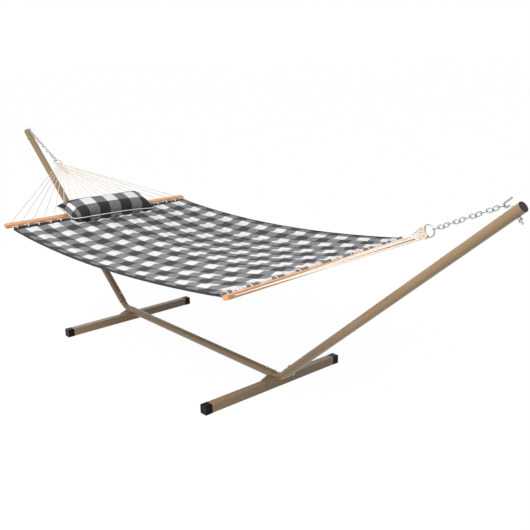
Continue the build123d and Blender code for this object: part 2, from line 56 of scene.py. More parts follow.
Rgba = tuple[float, float, float, float]
TubeMesh = tuple[np.ndarray, list[np.ndarray], list[np.ndarray]]


class End(Enum):
    """The two ends of the hammock, with the sign of their place along X."""

    HEAD = -1
    FOOT = 1

    @property
    def label(self) -> str:
        """Word used in node names."""
        return self.name.lower()


# ---------------------------------------------------------------------------------------------------------------
# Meshes
# ---------------------------------------------------------------------------------------------------------------


def smooth_step(value: np.ndarray) -> np.ndarray:
    """Cubic ease from 0 to 1, flat outside."""
    t = np.clip(value, 0.0, 1.0)
    return t * t * (3.0 - 2.0 * t)


def unit_rows(vectors: np.ndarray) -> np.ndarray:
    """Each row over its own length."""
    return vectors / np.linalg.norm(vectors, axis=1, keepdims=True)


def run_length(path: np.ndarray) -> np.ndarray:
    """Distance along a path of points at each of them."""
    return np.r_[0.0, np.cumsum(np.linalg.norm(np.diff(path, axis=0), axis=1))]


def bore_places(pitch: float) -> np.ndarray:
    """Places along a bar of its bores, even about its middle."""
    return (np.arange(BORES) - (BORES - 1) / 2) * pitch


def vertex_values(vertices: bpy.types.bpy_prop_collection, name: str, kind: type = np.float32) -> np.ndarray:
    """Vector property of all vertices, a row for each."""
    values = np.empty(len(vertices) * 3, dtype=kind)
    vertices.foreach_get(name, values)
    return values.reshape(-1, 3)


def grid_quads(rows: int, columns: int, wrap_rows: bool, wrap_columns: bool) -> np.ndarray:
    """Index the quads of a grid of points stored row by row.

    Args:
        rows: Number of rows.
        columns: Number of columns.
        wrap_rows: Whether the last row joins the first.
        wrap_columns: Whether the last column joins the first.

    Returns:
        Array of shape (faces, 4).
    """
    a, b = np.meshgrid(np.arange(rows if wrap_rows else rows - 1),
                       np.arange(columns if wrap_columns else columns - 1), indexing="ij")
    a, b = a.ravel(), b.ravel()
    c, d = (a + 1) % rows, (b + 1) % columns
    return np.stack([a * columns + b, c * columns + b, c * columns + d, a * columns + d], axis=1)


def quad_uv(u: np.ndarray, v: np.ndarray, rows: int, columns: int) -> np.ndarray:
    """Corner coordinates of a grid's quads, with one more value than faces along a wrapped side.

    Args:
        u: Coordinate of each row line, rows + 1 long where rows are wrapped.
        v: Coordinate of each column line.
        rows: Number of face rows.
        columns: Number of face columns.

    Returns:
        Array of shape (faces, 4, 2).
    """
    a, b = np.meshgrid(np.arange(rows), np.arange(columns), indexing="ij")
    a, b = a.ravel(), b.ravel()
    corner = [(a, b), (a + 1, b), (a + 1, b + 1), (a, b + 1)]
    return np.stack([np.stack([u[i], v[j]], axis=1) for i, j in corner], axis=1)


def build_piece(name: str, points: np.ndarray, faces: list[np.ndarray],
                uv: list[np.ndarray] | None = None) -> bpy.types.Object:
    """Put points and faces into a new object at the origin, with faces pointing outwards.

    Args:
        name: Name of the piece.
        points: Array of shape (n, 3), in metres.
        faces: Index arrays, each of shape (faces, corners).
        uv: Corner coordinates for each index array.

    Returns:
        The linked object.
    """
    volume = 0.0
    for index in faces:
        for k in range(1, index.shape[1] - 1):
            a, b, c = points[index[:, 0]], points[index[:, k]], points[index[:, k + 1]]
            volume += float(np.einsum("ij,ij->", a, np.cross(b, c)))
    if volume < 0:
        faces = [index[:, ::-1] for index in faces]
        uv = [corner[:, ::-1] for corner in uv] if uv else None
    mesh = bpy.data.meshes.new(name)
    mesh.vertices.add(len(points))
    mesh.vertices.foreach_set("co", np.ascontiguousarray(points, dtype=np.float32).ravel())
    loops = np.concatenate([index.ravel() for index in faces]).astype(np.int32)
    totals = np.concatenate([np.full(len(index), index.shape[1]) for index in faces])
    starts = np.concatenate([[0], np.cumsum(totals)[:-1]]).astype(np.int32)
    mesh.loops.add(len(loops))
    mesh.loops.foreach_set("vertex_index", loops)
    mesh.polygons.add(len(starts))
    mesh.polygons.foreach_set("loop_start", starts)
    mesh.update(calc_edges=True)
    mesh.polygons.foreach_set("use_smooth", np.ones(len(starts), dtype=bool))
    if uv:
        layer = mesh.uv_layers.new(name="surface")
        flat = np.concatenate([corner.reshape(-1, 2) for corner in uv])
        layer.data.foreach_set("uv", flat.astype(np.float32).ravel())
    mesh.validate()
    piece = bpy.data.objects.new(name, mesh)
    bpy.context.scene.collection.objects.link(piece)
    return piece


def tube_mesh(rings: np.ndarray, along: np.ndarray) -> TubeMesh:
    """Close a stack of rings into a capped tube.

    Args:
        rings: Array of shape (stations, around, 3).
        along: Distance of each station along the tube.

    Returns:
        Points, index arrays and corner coordinates: U is the distance, V the share of a turn.
    """
    stations, around = rings.shape[:2]
    quads = grid_quads(stations, around, False, True)
    turn = np.arange(around + 1) / around
    uv = quad_uv(along, turn, stations - 1, around)
    points = np.concatenate([rings.reshape(-1, 3), rings[[0, -1]].mean(axis=1)])
    ring = np.arange(around)
    after = (ring + 1) % around
    first = np.stack([np.full(around, stations * around), ring, after], axis=1)
    base = (stations - 1) * around
    last = np.stack([np.full(around, stations * around + 1), base + after, base + ring], axis=1)
    cap_uv = np.zeros((around, 3, 2))
    return points, [quads, first, last], [uv, cap_uv, cap_uv + [along[-1], 0.0]]


def join_tubes(parts: list[TubeMesh]) -> TubeMesh:
    """Join tubes into one set of points, index arrays and corner coordinates."""
    points, faces, uv, base = [], [], [], 0
    for part_points, part_faces, part_uv in parts:
        points.append(part_points)
        faces += [index + base for index in part_faces]
        uv += part_uv
        base += len(part_points)
    return np.concatenate(points), faces, uv


def spline_points(control: np.ndarray, step: float) -> np.ndarray:
    """Points at even steps along the smooth spline that a route's points control.

    Args:
        control: Route's points, of shape (n, 3).
        step: Distance between the points returned, in metres.

    Returns:
        Array of shape (m, 3).
    """
    curve = bpy.data.curves.new("route", "CURVE")
    curve.dimensions = "3D"
    spline = curve.splines.new("NURBS")
    spline.points.add(len(control) - 1)
    spline.points.foreach_set("co", np.c_[control, np.ones(len(control))].astype(np.float32).ravel())
    spline.order_u = 3
    spline.use_endpoint_u = True
    spline.resolution_u = 8
    holder = bpy.data.objects.new("route", curve)
    mesh = bpy.data.meshes.new_from_object(holder)
    line = vertex_values(mesh.vertices, "co", float)
    bpy.data.objects.remove(holder)
    bpy.data.curves.remove(curve)
    bpy.data.meshes.remove(mesh)
    distance = run_length(line)
    even = np.linspace(0.0, distance[-1], max(4, int(distance[-1] / step)))
    return np.stack([np.interp(even, distance, line[:, k]) for k in range(3)], axis=1)


def dress(piece: bpy.types.Object, material: bpy.types.Material) -> None:
    """Give every face of a piece one material."""
    piece.data.materials.clear()
    piece.data.materials.append(material)


def finish_piece(piece: bpy.types.Object, body: str, material: bpy.types.Material) -> None:
    """Dress a new piece, let it ride on a body and log its face count."""
    dress(piece, material)
    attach(piece, body)
    log.info("%s: %d faces on %s", piece.name, len(piece.data.polygons), body)


# ---------------------------------------------------------------------------------------------------------------
# Shader graphs
# ---------------------------------------------------------------------------------------------------------------


class Graph:
    """A node tree with short calls to add nodes and wire them."""

    def __init__(self, tree: bpy.types.NodeTree) -> None:
        """Keep the tree."""
        self.tree = tree

    def put(self, socket: bpy.types.NodeSocket, value: object) -> None:
        """Wire another socket to a socket, or set its value."""
        if isinstance(value, bpy.types.NodeSocket):
            self.tree.links.new(value, socket)
        else:
            socket.default_value = value

    def add(self, kind: str, inputs: dict | None = None, **settings: object) -> bpy.types.Node:
        """Add a node.

        Args:
            kind: Node type without its ShaderNode prefix.
            inputs: Values or sockets by input name or number.
            settings: Node properties.

        Returns:
            The node.
        """
        node = self.tree.nodes.new("ShaderNode" + kind)
        for key, value in settings.items():
            setattr(node, key, value)
        for key, value in (inputs or {}).items():
            self.put(node.inputs[key], value)
        return node

    def math(self, operation: str, a: object, b: object = 0.0, c: object = 0.0) -> bpy.types.NodeSocket:
        """Result of a math node."""
        return self.add("Math", {0: a, 1: b, 2: c}, operation=operation).outputs[0]

    def times(self, a: object, b: object) -> bpy.types.NodeSocket:
        """Product of two values."""
        return self.math("MULTIPLY", a, b)

    def plus(self, a: object, b: object) -> bpy.types.NodeSocket:
        """Sum of two values."""
        return self.math("ADD", a, b)

    def minus(self, a: object, b: object) -> bpy.types.NodeSocket:
        """First value less the second."""
        return self.math("SUBTRACT", a, b)

    def axes(self, vector: object) -> bpy.types.bpy_prop_collection:
        """The three parts of a vector."""
        return self.add("SeparateXYZ", {0: vector}).outputs

    def upward(self) -> bpy.types.NodeSocket:
        """How far the surface faces upwards, -1 to 1."""
        return self.axes(self.add("NewGeometry").outputs["Normal"])[2]

    def mix(self, factor: object, a: object, b: object) -> bpy.types.NodeSocket:
        """Colour between a and b."""
        node = self.add("Mix", data_type="RGBA")
        self.put(node.inputs[0], factor)
        self.put(node.inputs[6], a)
        self.put(node.inputs[7], b)
        return node.outputs[2]

    def spread(self, value: object, low: float, high: float) -> bpy.types.NodeSocket:
        """Share of 0 to 1 taken to the range from low to high."""
        return self.math("MULTIPLY_ADD", value, high - low, low)

    def noise(self, vector: object, scale: object, detail: float = 3.0, roughness: float = 0.55
              ) -> bpy.types.NodeSocket:
        """Value of a noise texture."""
        node = self.add("TexNoise", {"Vector": vector, "Scale": scale, "Detail": detail, "Roughness": roughness})
        return node.outputs[0]

    def group(self, tree: bpy.types.NodeTree, inputs: dict) -> bpy.types.Node:
        """Place a shared effect with its own values."""
        node = self.tree.nodes.new("ShaderNodeGroup")
        node.node_tree = tree
        for key, value in inputs.items():
            self.put(node.inputs[key], value)
        return node


class Effect:
    """A shared effect: a shader node group with named inputs and outputs, built once."""

    def __init__(self, name: str, inputs: dict[str, object], outputs: dict[str, str]) -> None:
        """Make the group.

        Args:
            name: Name of the group.
            inputs: Default by input name; None for a vector, a tuple for a colour.
            outputs: Socket type by output name.
        """
        self.tree = bpy.data.node_groups.new(name, "ShaderNodeTree")
        self.graph = Graph(self.tree)
        for key, value in inputs.items():
            kind = "Vector" if value is None else "Color" if isinstance(value, tuple) else "Float"
            socket = self.tree.interface.new_socket(key, in_out="INPUT", socket_type="NodeSocket" + kind)
            if value is not None:
                socket.default_value = value
        for key, kind in outputs.items():
            self.tree.interface.new_socket(key, in_out="OUTPUT", socket_type="NodeSocket" + kind)
        self.given = self.tree.nodes.new("NodeGroupInput").outputs
        self.result = self.tree.nodes.new("NodeGroupOutput").inputs

    def give(self, name: str, value: bpy.types.NodeSocket) -> None:
        """Wire a value to an output."""
        self.tree.links.new(value, self.result[name])


def plain_weave() -> bpy.types.NodeTree:
    """Plain weave: each thread is a half round, and warp and weft take turns on top.

    Returns:
        Group with the height and a mask of where the warp is on top.
    """
    effect = Effect("plain weave", {"Vector": None, "Threads": 900.0}, {"Height": "Float", "Warp": "Float"})
    g, given = effect.graph, effect.given
    scaled = g.add("VectorMath", {0: given["Vector"]}, operation="SCALE")
    g.put(scaled.inputs["Scale"], given["Threads"])
    axis = g.axes(scaled.outputs[0])
    both = g.plus(g.math("FLOOR", axis[0]), g.math("FLOOR", axis[1]))
    warp = g.math("FLOORED_MODULO", both, 2.0)
    round_u = g.math("ABSOLUTE", g.math("SINE", g.times(axis[0], math.pi)))
    round_v = g.math("ABSOLUTE", g.math("SINE", g.times(axis[1], math.pi)))
    one = g.times(round_u, warp)
    other = g.times(round_v, g.minus(1.0, warp))
    effect.give("Height", g.plus(one, other))
    effect.give("Warp", warp)
    return effect.tree


def band_check() -> bpy.types.NodeTree:
    """Woven check: light and dark bands both ways, a cosine along each way cut off to a band.

    Returns:
        Group with the check's colour.
    """
    effect = Effect("band check", {"Vector": None, "Pitch U": 0.19, "Pitch V": 0.17, "Shift U": 0.0, "Shift V": 0.0,
                                   "Warp": 0.5, "Dark": (0, 0, 0, 1), "Mixed": (0.5, 0.5, 0.5, 1),
                                   "Light": (1, 1, 1, 1)}, {"Color": "Color"})
    g, given = effect.graph, effect.given
    axis = g.axes(given["Vector"])
    wander = g.math("MULTIPLY_ADD", g.noise(given["Vector"], 24.0, 2.0), 0.004, -0.002)
    band = []
    for k, way in enumerate("UV"):
        place = g.minus(g.plus(axis[k], wander), given["Shift " + way])
        turn = g.times(g.math("DIVIDE", place, given["Pitch " + way]), 2 * math.pi)
        wave = g.math("MULTIPLY_ADD", g.math("COSINE", turn), 18.0, 0.5)
        band.append(g.math("MINIMUM", g.math("MAXIMUM", wave, 0.0), 1.0))
    level = g.times(g.plus(band[0], band[1]), 0.5)
    unlike = g.math("ABSOLUTE", g.minus(band[0], band[1]))
    thread = g.times(g.minus(given["Warp"], 0.5), g.times(unlike, 0.16))
    level = g.plus(level, thread)
    lower = g.mix(g.times(level, 2.0), given["Dark"], given["Mixed"])
    upper = g.math("MULTIPLY_ADD", level, 2.0, -1.0)
    effect.give("Color", g.mix(g.math("MAXIMUM", upper, 0.0), lower, given["Light"]))
    return effect.tree


def tone_drift() -> bpy.types.NodeTree:
    """Slow drift of a colour's brightness over a surface, with fine specks.

    Returns:
        Group with the drifted colour and a 0 to 1 value.
    """
    effect = Effect("tone drift", {"Vector": None, "Color": (0.5, 0.5, 0.5, 1), "Scale": 6.0, "Amount": 0.1},
                    {"Color": "Color", "Value": "Float"})
    g, given = effect.graph, effect.given
    slow = g.noise(given["Vector"], given["Scale"], 4.0)
    fine = g.noise(given["Vector"], g.times(given["Scale"], 19.0), 2.0)
    both = g.plus(g.times(slow, 0.7), g.times(fine, 0.3))
    gain = g.math("MULTIPLY_ADD", g.minus(both, 0.5), g.times(given["Amount"], 2.0), 1.0)
    scaled = g.add("VectorMath", {0: given["Color"]}, operation="SCALE")
    g.put(scaled.inputs["Scale"], gain)
    effect.give("Color", scaled.outputs[0])
    effect.give("Value", both)
    return effect.tree


def wood_grain() -> bpy.types.NodeTree:
    """Straight grain along Y: rings drawn out along the bar, with pores.

    Returns:
        Group with a ring mask, a pore mask and a height.
    """
    effect = Effect("wood grain", {"Vector": None, "Scale": 60.0}, {"Rings": "Float", "Pores": "Float",
                                                                    "Height": "Float"})
    g, given = effect.graph, effect.given
    drawn = g.add("Mapping", {"Vector": given["Vector"], "Scale": (1.0, 0.045, 1.0)}).outputs[0]
    bend = g.noise(drawn, 22.0, 3.0)
    axis = g.axes(drawn)
    radius = g.plus(axis[0], g.times(axis[2], 0.7))
    phase = g.plus(g.times(radius, given["Scale"]), g.times(bend, 2.6))
    rings = g.math("POWER", g.math("FRACT", phase), 2.2)
    pores = g.math("GREATER_THAN", g.noise(drawn, 1500.0, 1.0), 0.63)
    effect.give("Rings", rings)
    effect.give("Pores", pores)
    effect.give("Height", g.minus(g.times(rings, 0.4), g.times(pores, 0.6)))
    return effect.tree


def rope_lay() -> bpy.types.NodeTree:
    """Laid rope: strands wind round as the turn less the distance over the lay, each with its own fibres.

    Returns:
        Group with the strand height and a mask of the grooves between strands, where the material paints shade.
    """
    effect = Effect("rope lay", {"Vector": None, "Lay": 0.024, "Strands": 3.0}, {"Height": "Float",
                                                                                 "Groove": "Float"})
    g, given = effect.graph, effect.given
    axis = g.axes(given["Vector"])
    turns = g.minus(axis[1], g.math("DIVIDE", axis[0], given["Lay"]))
    phase = g.times(g.times(turns, given["Strands"]), math.pi)
    strand = g.math("ABSOLUTE", g.math("SINE", phase))
    fibre = g.math("ABSOLUTE", g.math("SINE", g.times(phase, 7.0)))
    effect.give("Height", g.plus(strand, g.times(fibre, 0.12)))
    effect.give("Groove", g.math("POWER", g.minus(1.0, strand), 3.0))
    return effect.tree


def metal_wear() -> bpy.types.NodeTree:
    """Plated steel: crystal patches, fine scratches and dull smudges.

    Returns:
        Group with a patch value, a scratch mask and a smudge mask.
    """
    effect = Effect("metal wear", {"Vector": None, "Scale": 260.0}, {"Patch": "Float", "Scratch": "Float",
                                                                     "Smudge": "Float"})
    g, given = effect.graph, effect.given
    cell = g.add("TexVoronoi", {"Vector": given["Vector"], "Scale": given["Scale"]})
    tint = g.add("SeparateColor", {0: cell.outputs["Color"]}).outputs[0]
    drawn = g.add("Mapping", {"Vector": given["Vector"], "Scale": (1.0, 0.08, 0.3),
                              "Rotation": (0.3, 0.2, 0.6)}).outputs[0]
    effect.give("Patch", tint)
    effect.give("Scratch", g.math("GREATER_THAN", g.noise(drawn, 2200.0, 2.0), 0.62))
    effect.give("Smudge", g.noise(given["Vector"], 32.0, 4.0))
    return effect.tree


def orange_peel() -> bpy.types.NodeTree:
    """Baked powder coat: rounded micro bumps, thin spots and settled dust.

    Returns:
        Group with a height, a thin spot mask and a dust mask.
    """
    effect = Effect("orange peel", {"Vector": None, "Scale": 900.0, "Dust": 0.4}, {"Height": "Float",
                                                                                  "Thin": "Float", "Dust": "Float"})
    g, given = effect.graph, effect.given
    bumps = g.noise(given["Vector"], given["Scale"], 1.5)
    spots = g.noise(given["Vector"], 41.0, 5.0, 0.7)
    upward = g.upward()
    lying = g.times(g.math("MAXIMUM", upward, 0.0), given["Dust"])
    cloud = g.noise(given["Vector"], 13.0, 5.0, 0.65)
    effect.give("Height", bumps)
    effect.give("Thin", g.math("GREATER_THAN", spots, 0.73))
    effect.give("Dust", g.times(lying, cloud))
    return effect.tree


def stitch_row() -> bpy.types.NodeTree:
    """Row of stitches: dashes along one way on a narrow line across the other.

    Returns:
        Group with a thread mask and a furrow mask.
    """
    effect = Effect("stitch row", {"Along": 0.0, "Across": 0.0, "Length": 0.0045, "Width": 0.0009},
                    {"Thread": "Float", "Furrow": "Float"})
    g, given = effect.graph, effect.given
    share = g.math("FRACT", g.math("DIVIDE", given["Along"], given["Length"]))
    dash = g.math("LESS_THAN", g.math("ABSOLUTE", g.minus(share, 0.5)), 0.36)
    off = g.math("DIVIDE", g.math("ABSOLUTE", given["Across"]), given["Width"])
    line = g.math("LESS_THAN", off, 1.0)
    effect.give("Thread", g.times(dash, line))
    effect.give("Furrow", g.math("MAXIMUM", g.minus(1.0, g.times(off, 0.25)), 0.0))
    return effect.tree


class Effects:
    """All shared effects, each built once."""

    def __init__(self) -> None:
        """Build the groups."""
        self.weave = plain_weave()
        self.check = band_check()
        self.drift = tone_drift()
        self.grain = wood_grain()
        self.lay = rope_lay()
        self.metal = metal_wear()
        self.peel = orange_peel()
        self.stitch = stitch_row()


def fresh_graph(owner: bpy.types.Material | bpy.types.World) -> Graph:
    """Empty node tree of a material or world."""
    owner.use_nodes = True
    owner.node_tree.nodes.clear()
    return Graph(owner.node_tree)


def new_material(name: str) -> tuple[bpy.types.Material, Graph, bpy.types.Node]:
    """Start a material with a Principled BSDF.

    Args:
        name: Name of the material.

    Returns:
        The material, its graph and its shader.
    """
    material = bpy.data.materials.new(name)
    graph = fresh_graph(material)
    shader = graph.add("BsdfPrincipled")
    output = graph.add("OutputMaterial")
    graph.put(output.inputs["Surface"], shader.outputs[0])
    return material, graph, shader


def relief(graph: Graph, shader: bpy.types.Node, height: bpy.types.NodeSocket, depth: float,
           strength: float = 0.6) -> None:
    """Feed a height in metres to a shader's normal."""
    bump = graph.add("Bump", {"Height": height, "Strength": strength, "Distance": depth})
    graph.put(shader.inputs["Normal"], bump.outputs[0])


@dataclass(frozen=True)
class PowderCoat:
    """Baked satin paint on the stand's tubes."""

    color: Rgba = (0.300, 0.198, 0.102, 1.0)
    dust: Rgba = (0.42, 0.31, 0.19, 1.0)

    def build(self, effects: Effects) -> bpy.types.Material:
        """Make the material."""
        material, g, shader = new_material("stand paint")
        place = g.add("TexCoord").outputs["Object"]
        peel = g.group(effects.peel, {"Vector": place, "Scale": 900.0, "Dust": 0.10}).outputs
        drawn = g.add("Mapping", {"Vector": place, "Scale": (0.35, 1.0, 0.6)}).outputs[0]
        drift = g.group(effects.drift, {"Vector": drawn, "Color": self.color, "Scale": 1.6, "Amount": 0.06}).outputs
        worn = g.mix(g.times(peel["Thin"], 0.12), drift["Color"], (0.23, 0.17, 0.11, 1.0))
        g.put(shader.inputs["Base Color"], g.mix(peel["Dust"], worn, self.dust))
        g.put(shader.inputs["Roughness"], g.spread(drift["Value"], 0.26, 0.31))
        shader.inputs["Sheen Weight"].default_value = 0.22
        shader.inputs["Sheen Roughness"].default_value = 0.30
        shader.inputs["Specular IOR Level"].default_value = 0.45
        shader.inputs["Coat Roughness"].default_value = 0.25
        shader.inputs["Coat Weight"].default_value = 0.15
        relief(g, shader, peel["Height"], 0.0001, 0.06)
        return material


@dataclass(frozen=True)
class MouldedPlastic:
    """Moulded plastic with a fine spark-eroded texture."""

    name: str
    color: Rgba
    low: float = 0.24
    high: float = 0.38

    def build(self, effects: Effects) -> bpy.types.Material:
        """Make the material."""
        material, g, shader = new_material(self.name)
        place = g.add("TexCoord").outputs["Object"]
        peel = g.group(effects.peel, {"Vector": place, "Scale": 1600.0, "Dust": 0.06}).outputs
        drift = g.group(effects.drift, {"Vector": place, "Color": self.color, "Scale": 14.0, "Amount": 0.22}).outputs
        g.put(shader.inputs["Base Color"], g.mix(peel["Dust"], drift["Color"], (0.20, 0.19, 0.18, 1.0)))
        g.put(shader.inputs["Roughness"], g.spread(drift["Value"], self.low, self.high))
        shader.inputs["Specular IOR Level"].default_value = 0.10
        relief(g, shader, peel["Height"], 0.0002, 0.5)
        return material


@dataclass(frozen=True)
class ZincPlate:
    """Bright zinc plate on hooks, chain, rings and fasteners."""

    color: Rgba = (0.46, 0.47, 0.47, 1.0)
    dull: Rgba = (0.25, 0.255, 0.26, 1.0)

    def build(self, effects: Effects) -> bpy.types.Material:
        """Make the material."""
        material, g, shader = new_material("zinc steel")
        place = g.add("TexCoord").outputs["Object"]
        wear = g.group(effects.metal, {"Vector": place, "Scale": 260.0}).outputs
        tone = g.mix(g.times(wear["Patch"], 0.6), self.color, (0.58, 0.59, 0.60, 1.0))
        dulled = g.mix(g.times(wear["Smudge"], 0.7), tone, self.dull)
        g.put(shader.inputs["Base Color"], g.mix(g.times(wear["Scratch"], 0.3), dulled,
                                                 (0.7, 0.7, 0.7, 1.0)))
        rough = g.plus(g.spread(wear["Smudge"], 0.16, 0.46), g.times(wear["Scratch"], 0.08))
        g.put(shader.inputs["Roughness"], rough)
        shader.inputs["Metallic"].default_value = 1.0
        relief(g, shader, g.plus(wear["Patch"], wear["Scratch"]), 0.00008, 0.4)
        return material


@dataclass(frozen=True)
class VarnishedWood:
    """Oiled and varnished hardwood, with the grain along the bar."""

    light: Rgba = (0.74, 0.355, 0.146, 1.0)
    dark: Rgba = (0.50, 0.200, 0.070, 1.0)
    pore: Rgba = (0.26, 0.11, 0.045, 1.0)

    def build(self, effects: Effects) -> bpy.types.Material:
        """Make the material."""
        material, g, shader = new_material("bar wood")
        place = g.add("TexCoord").outputs["Object"]
        grain = g.group(effects.grain, {"Vector": place, "Scale": 130.0}).outputs
        tone = g.mix(g.times(grain["Rings"], 0.55), self.light, self.dark)
        tone = g.mix(g.times(grain["Pores"], 0.35), tone, self.pore)
        drift = g.group(effects.drift, {"Vector": place, "Color": tone, "Scale": 3.0, "Amount": 0.16}).outputs
        g.put(shader.inputs["Base Color"], drift["Color"])
        g.put(shader.inputs["Roughness"], g.spread(grain["Rings"], 0.30, 0.44))
        shader.inputs["Coat Weight"].default_value = 0.5
        shader.inputs["Coat Roughness"].default_value = 0.18
        relief(g, shader, grain["Height"], 0.0002, 0.4)
        return material


@dataclass(frozen=True)
class CottonRope:
    """Soft laid cord of cream cotton and polyester, with shade painted into the grooves between its strands."""

    color: Rgba = (0.93, 0.815, 0.705, 1.0)
    # Painted shade in the grooves between strands.
    groove: Rgba = (0.72, 0.56, 0.44, 1.0)

    def build(self, effects: Effects) -> bpy.types.Material:
        """Make the material."""
        material, g, shader = new_material("cord cotton")
        coord = g.add("TexCoord").outputs
        lay = g.group(effects.lay, {"Vector": coord["UV"], "Lay": 0.024, "Strands": 3.0}).outputs
        drift = g.group(effects.drift, {"Vector": coord["Object"], "Color": self.color, "Scale": 30.0,
                                        "Amount": 0.12}).outputs
        # Painted shade: the grooves between strands are darkened.
        g.put(shader.inputs["Base Color"], g.mix(g.times(lay["Groove"], 0.55), drift["Color"], self.groove))
        g.put(shader.inputs["Roughness"], g.spread(drift["Value"], 0.72, 0.95))
        shader.inputs["Sheen Weight"].default_value = 0.25
        shader.inputs["Sheen Roughness"].default_value = 0.5
        relief(g, shader, lay["Height"], 0.0008, 0.7)
        return material


@dataclass(frozen=True)
class CheckCloth:
    """Woven check cloth: light and dark bands both ways, on UV coordinates in metres, with painted shade between the
    threads, a nearly black painted shadow past the hem line and painted shade on faces that look downwards.
    """

    name: str
    pitch_u: float
    pitch_v: float
    shift_u: float
    shift_v: float
    dark: Rgba = (0.050, 0.050, 0.054, 1.0)
    mixed: Rgba = (0.205, 0.206, 0.216, 1.0)
    light: Rgba = (0.890, 0.890, 0.895, 1.0)
    threads: float = 900.0
    edge: float = 0.0
    last_u: float = 9.0
    # U below which the cloth is painted nearly black: a dark hem with a painted shadow of the gap between the head bar
    # and the cloth.
    hem_shadow_u: float = -9.0
    # Strength of the painted shade on faces that look downwards; 0 paints none.
    under: float = 0.0

    def build(self, effects: Effects) -> bpy.types.Material:
        """Make the material."""
        material, g, shader = new_material(self.name)
        coord = g.add("TexCoord").outputs
        place = coord["UV"]
        weave = g.group(effects.weave, {"Vector": place, "Threads": self.threads}).outputs
        flat = g.axes(place)
        bands = g.add("CombineXYZ", {0: g.math("MINIMUM", flat[0], self.last_u), 1: flat[1]}).outputs[0]
        check = g.group(effects.check, {
            "Vector": bands, "Pitch U": self.pitch_u, "Pitch V": self.pitch_v, "Shift U": self.shift_u,
            "Shift V": self.shift_v, "Warp": weave["Warp"], "Dark": self.dark, "Mixed": self.mixed,
            "Light": self.light}).outputs
        drift = g.group(effects.drift, {"Vector": coord["Object"], "Color": check["Color"], "Scale": 9.0,
                                        "Amount": 0.09}).outputs
        # Painted shade between the threads, darkest where the weave dips.
        gap = g.times(g.minus(1.0, weave["Height"]), 0.22)
        tone = g.mix(gap, drift["Color"], (0.045, 0.045, 0.05, 1.0))
        # Painted shadow: past the hem line the colour goes nearly black, a dark hem with the shade of the gap under the
        # head bar painted over it.
        hem = g.math("LESS_THAN", flat[0], self.hem_shadow_u)
        tone = g.mix(g.times(hem, 0.9), tone, (0.008, 0.008, 0.010, 1.0))
        height = g.times(weave["Height"], 0.0004)
        # Painted shade: faces that look downwards are darkened towards near black, standing in for the shadow under the
        # pillow.
        if self.under:
            upward = g.upward()
            below = g.spread(g.math("MULTIPLY_ADD", upward, -2.5, 0.2), 0.0, self.under)
            tone = g.mix(below, tone, (0.004, 0.004, 0.005, 1.0))
        if self.edge:
            off = g.minus(g.math("ABSOLUTE", flat[1]), self.edge)
            row = g.group(effects.stitch, {"Along": flat[0], "Across": off}).outputs
            tone = g.mix(g.times(row["Thread"], 0.8), tone, (0.16, 0.16, 0.17, 1.0))
            height = g.minus(height, g.times(row["Furrow"], 0.0012))
        g.put(shader.inputs["Base Color"], tone)
        g.put(shader.inputs["Roughness"], g.spread(drift["Value"], 0.74, 0.96))
        shader.inputs["Sheen Weight"].default_value = 0.04
        shader.inputs["Sheen Roughness"].default_value = 0.6
        shader.inputs["Specular IOR Level"].default_value = 0.25
        relief(g, shader, height, 1.0, 0.7)
        return material


@dataclass(frozen=True)
class PlainCloth:
    """Plain woven tape for bindings and piping, on UV coordinates: U along the tape, V a share of a turn."""

    name: str
    color: Rgba
    # Colour of the stitches, also used as the painted shade between the threads.
    dark: Rgba
    girth: float
    seam: float

    def build(self, effects: Effects) -> bpy.types.Material:
        """Make the material."""
        material, g, shader = new_material(self.name)
        coord = g.add("TexCoord").outputs
        scaled = g.add("Mapping", {"Vector": coord["UV"], "Scale": (1.0, self.girth, 1.0)}).outputs[0]
        weave = g.group(effects.weave, {"Vector": scaled, "Threads": 1100.0}).outputs
        drift = g.group(effects.drift, {"Vector": coord["Object"], "Color": self.color, "Scale": 16.0,
                                        "Amount": 0.14}).outputs
        axis = g.axes(scaled)
        row = g.group(effects.stitch, {"Along": axis[0], "Across": g.minus(axis[1], self.seam)}).outputs
        # Painted shade between the threads, towards the dark tone.
        gap = g.times(g.minus(1.0, weave["Height"]), 0.3)
        tone = g.mix(gap, drift["Color"], self.dark)
        g.put(shader.inputs["Base Color"], g.mix(g.times(row["Thread"], 0.6), tone, self.dark))
        g.put(shader.inputs["Roughness"], g.spread(drift["Value"], 0.72, 0.94))
        shader.inputs["Sheen Weight"].default_value = 0.1
        shader.inputs["Specular IOR Level"].default_value = 0.25
        height = g.minus(g.times(weave["Height"], 0.0003),
                        g.times(row["Furrow"], 0.0008))
        relief(g, shader, height, 1.0, 0.7)
        return material


# ---------------------------------------------------------------------------------------------------------------
# Bed
# ---------------------------------------------------------------------------------------------------------------


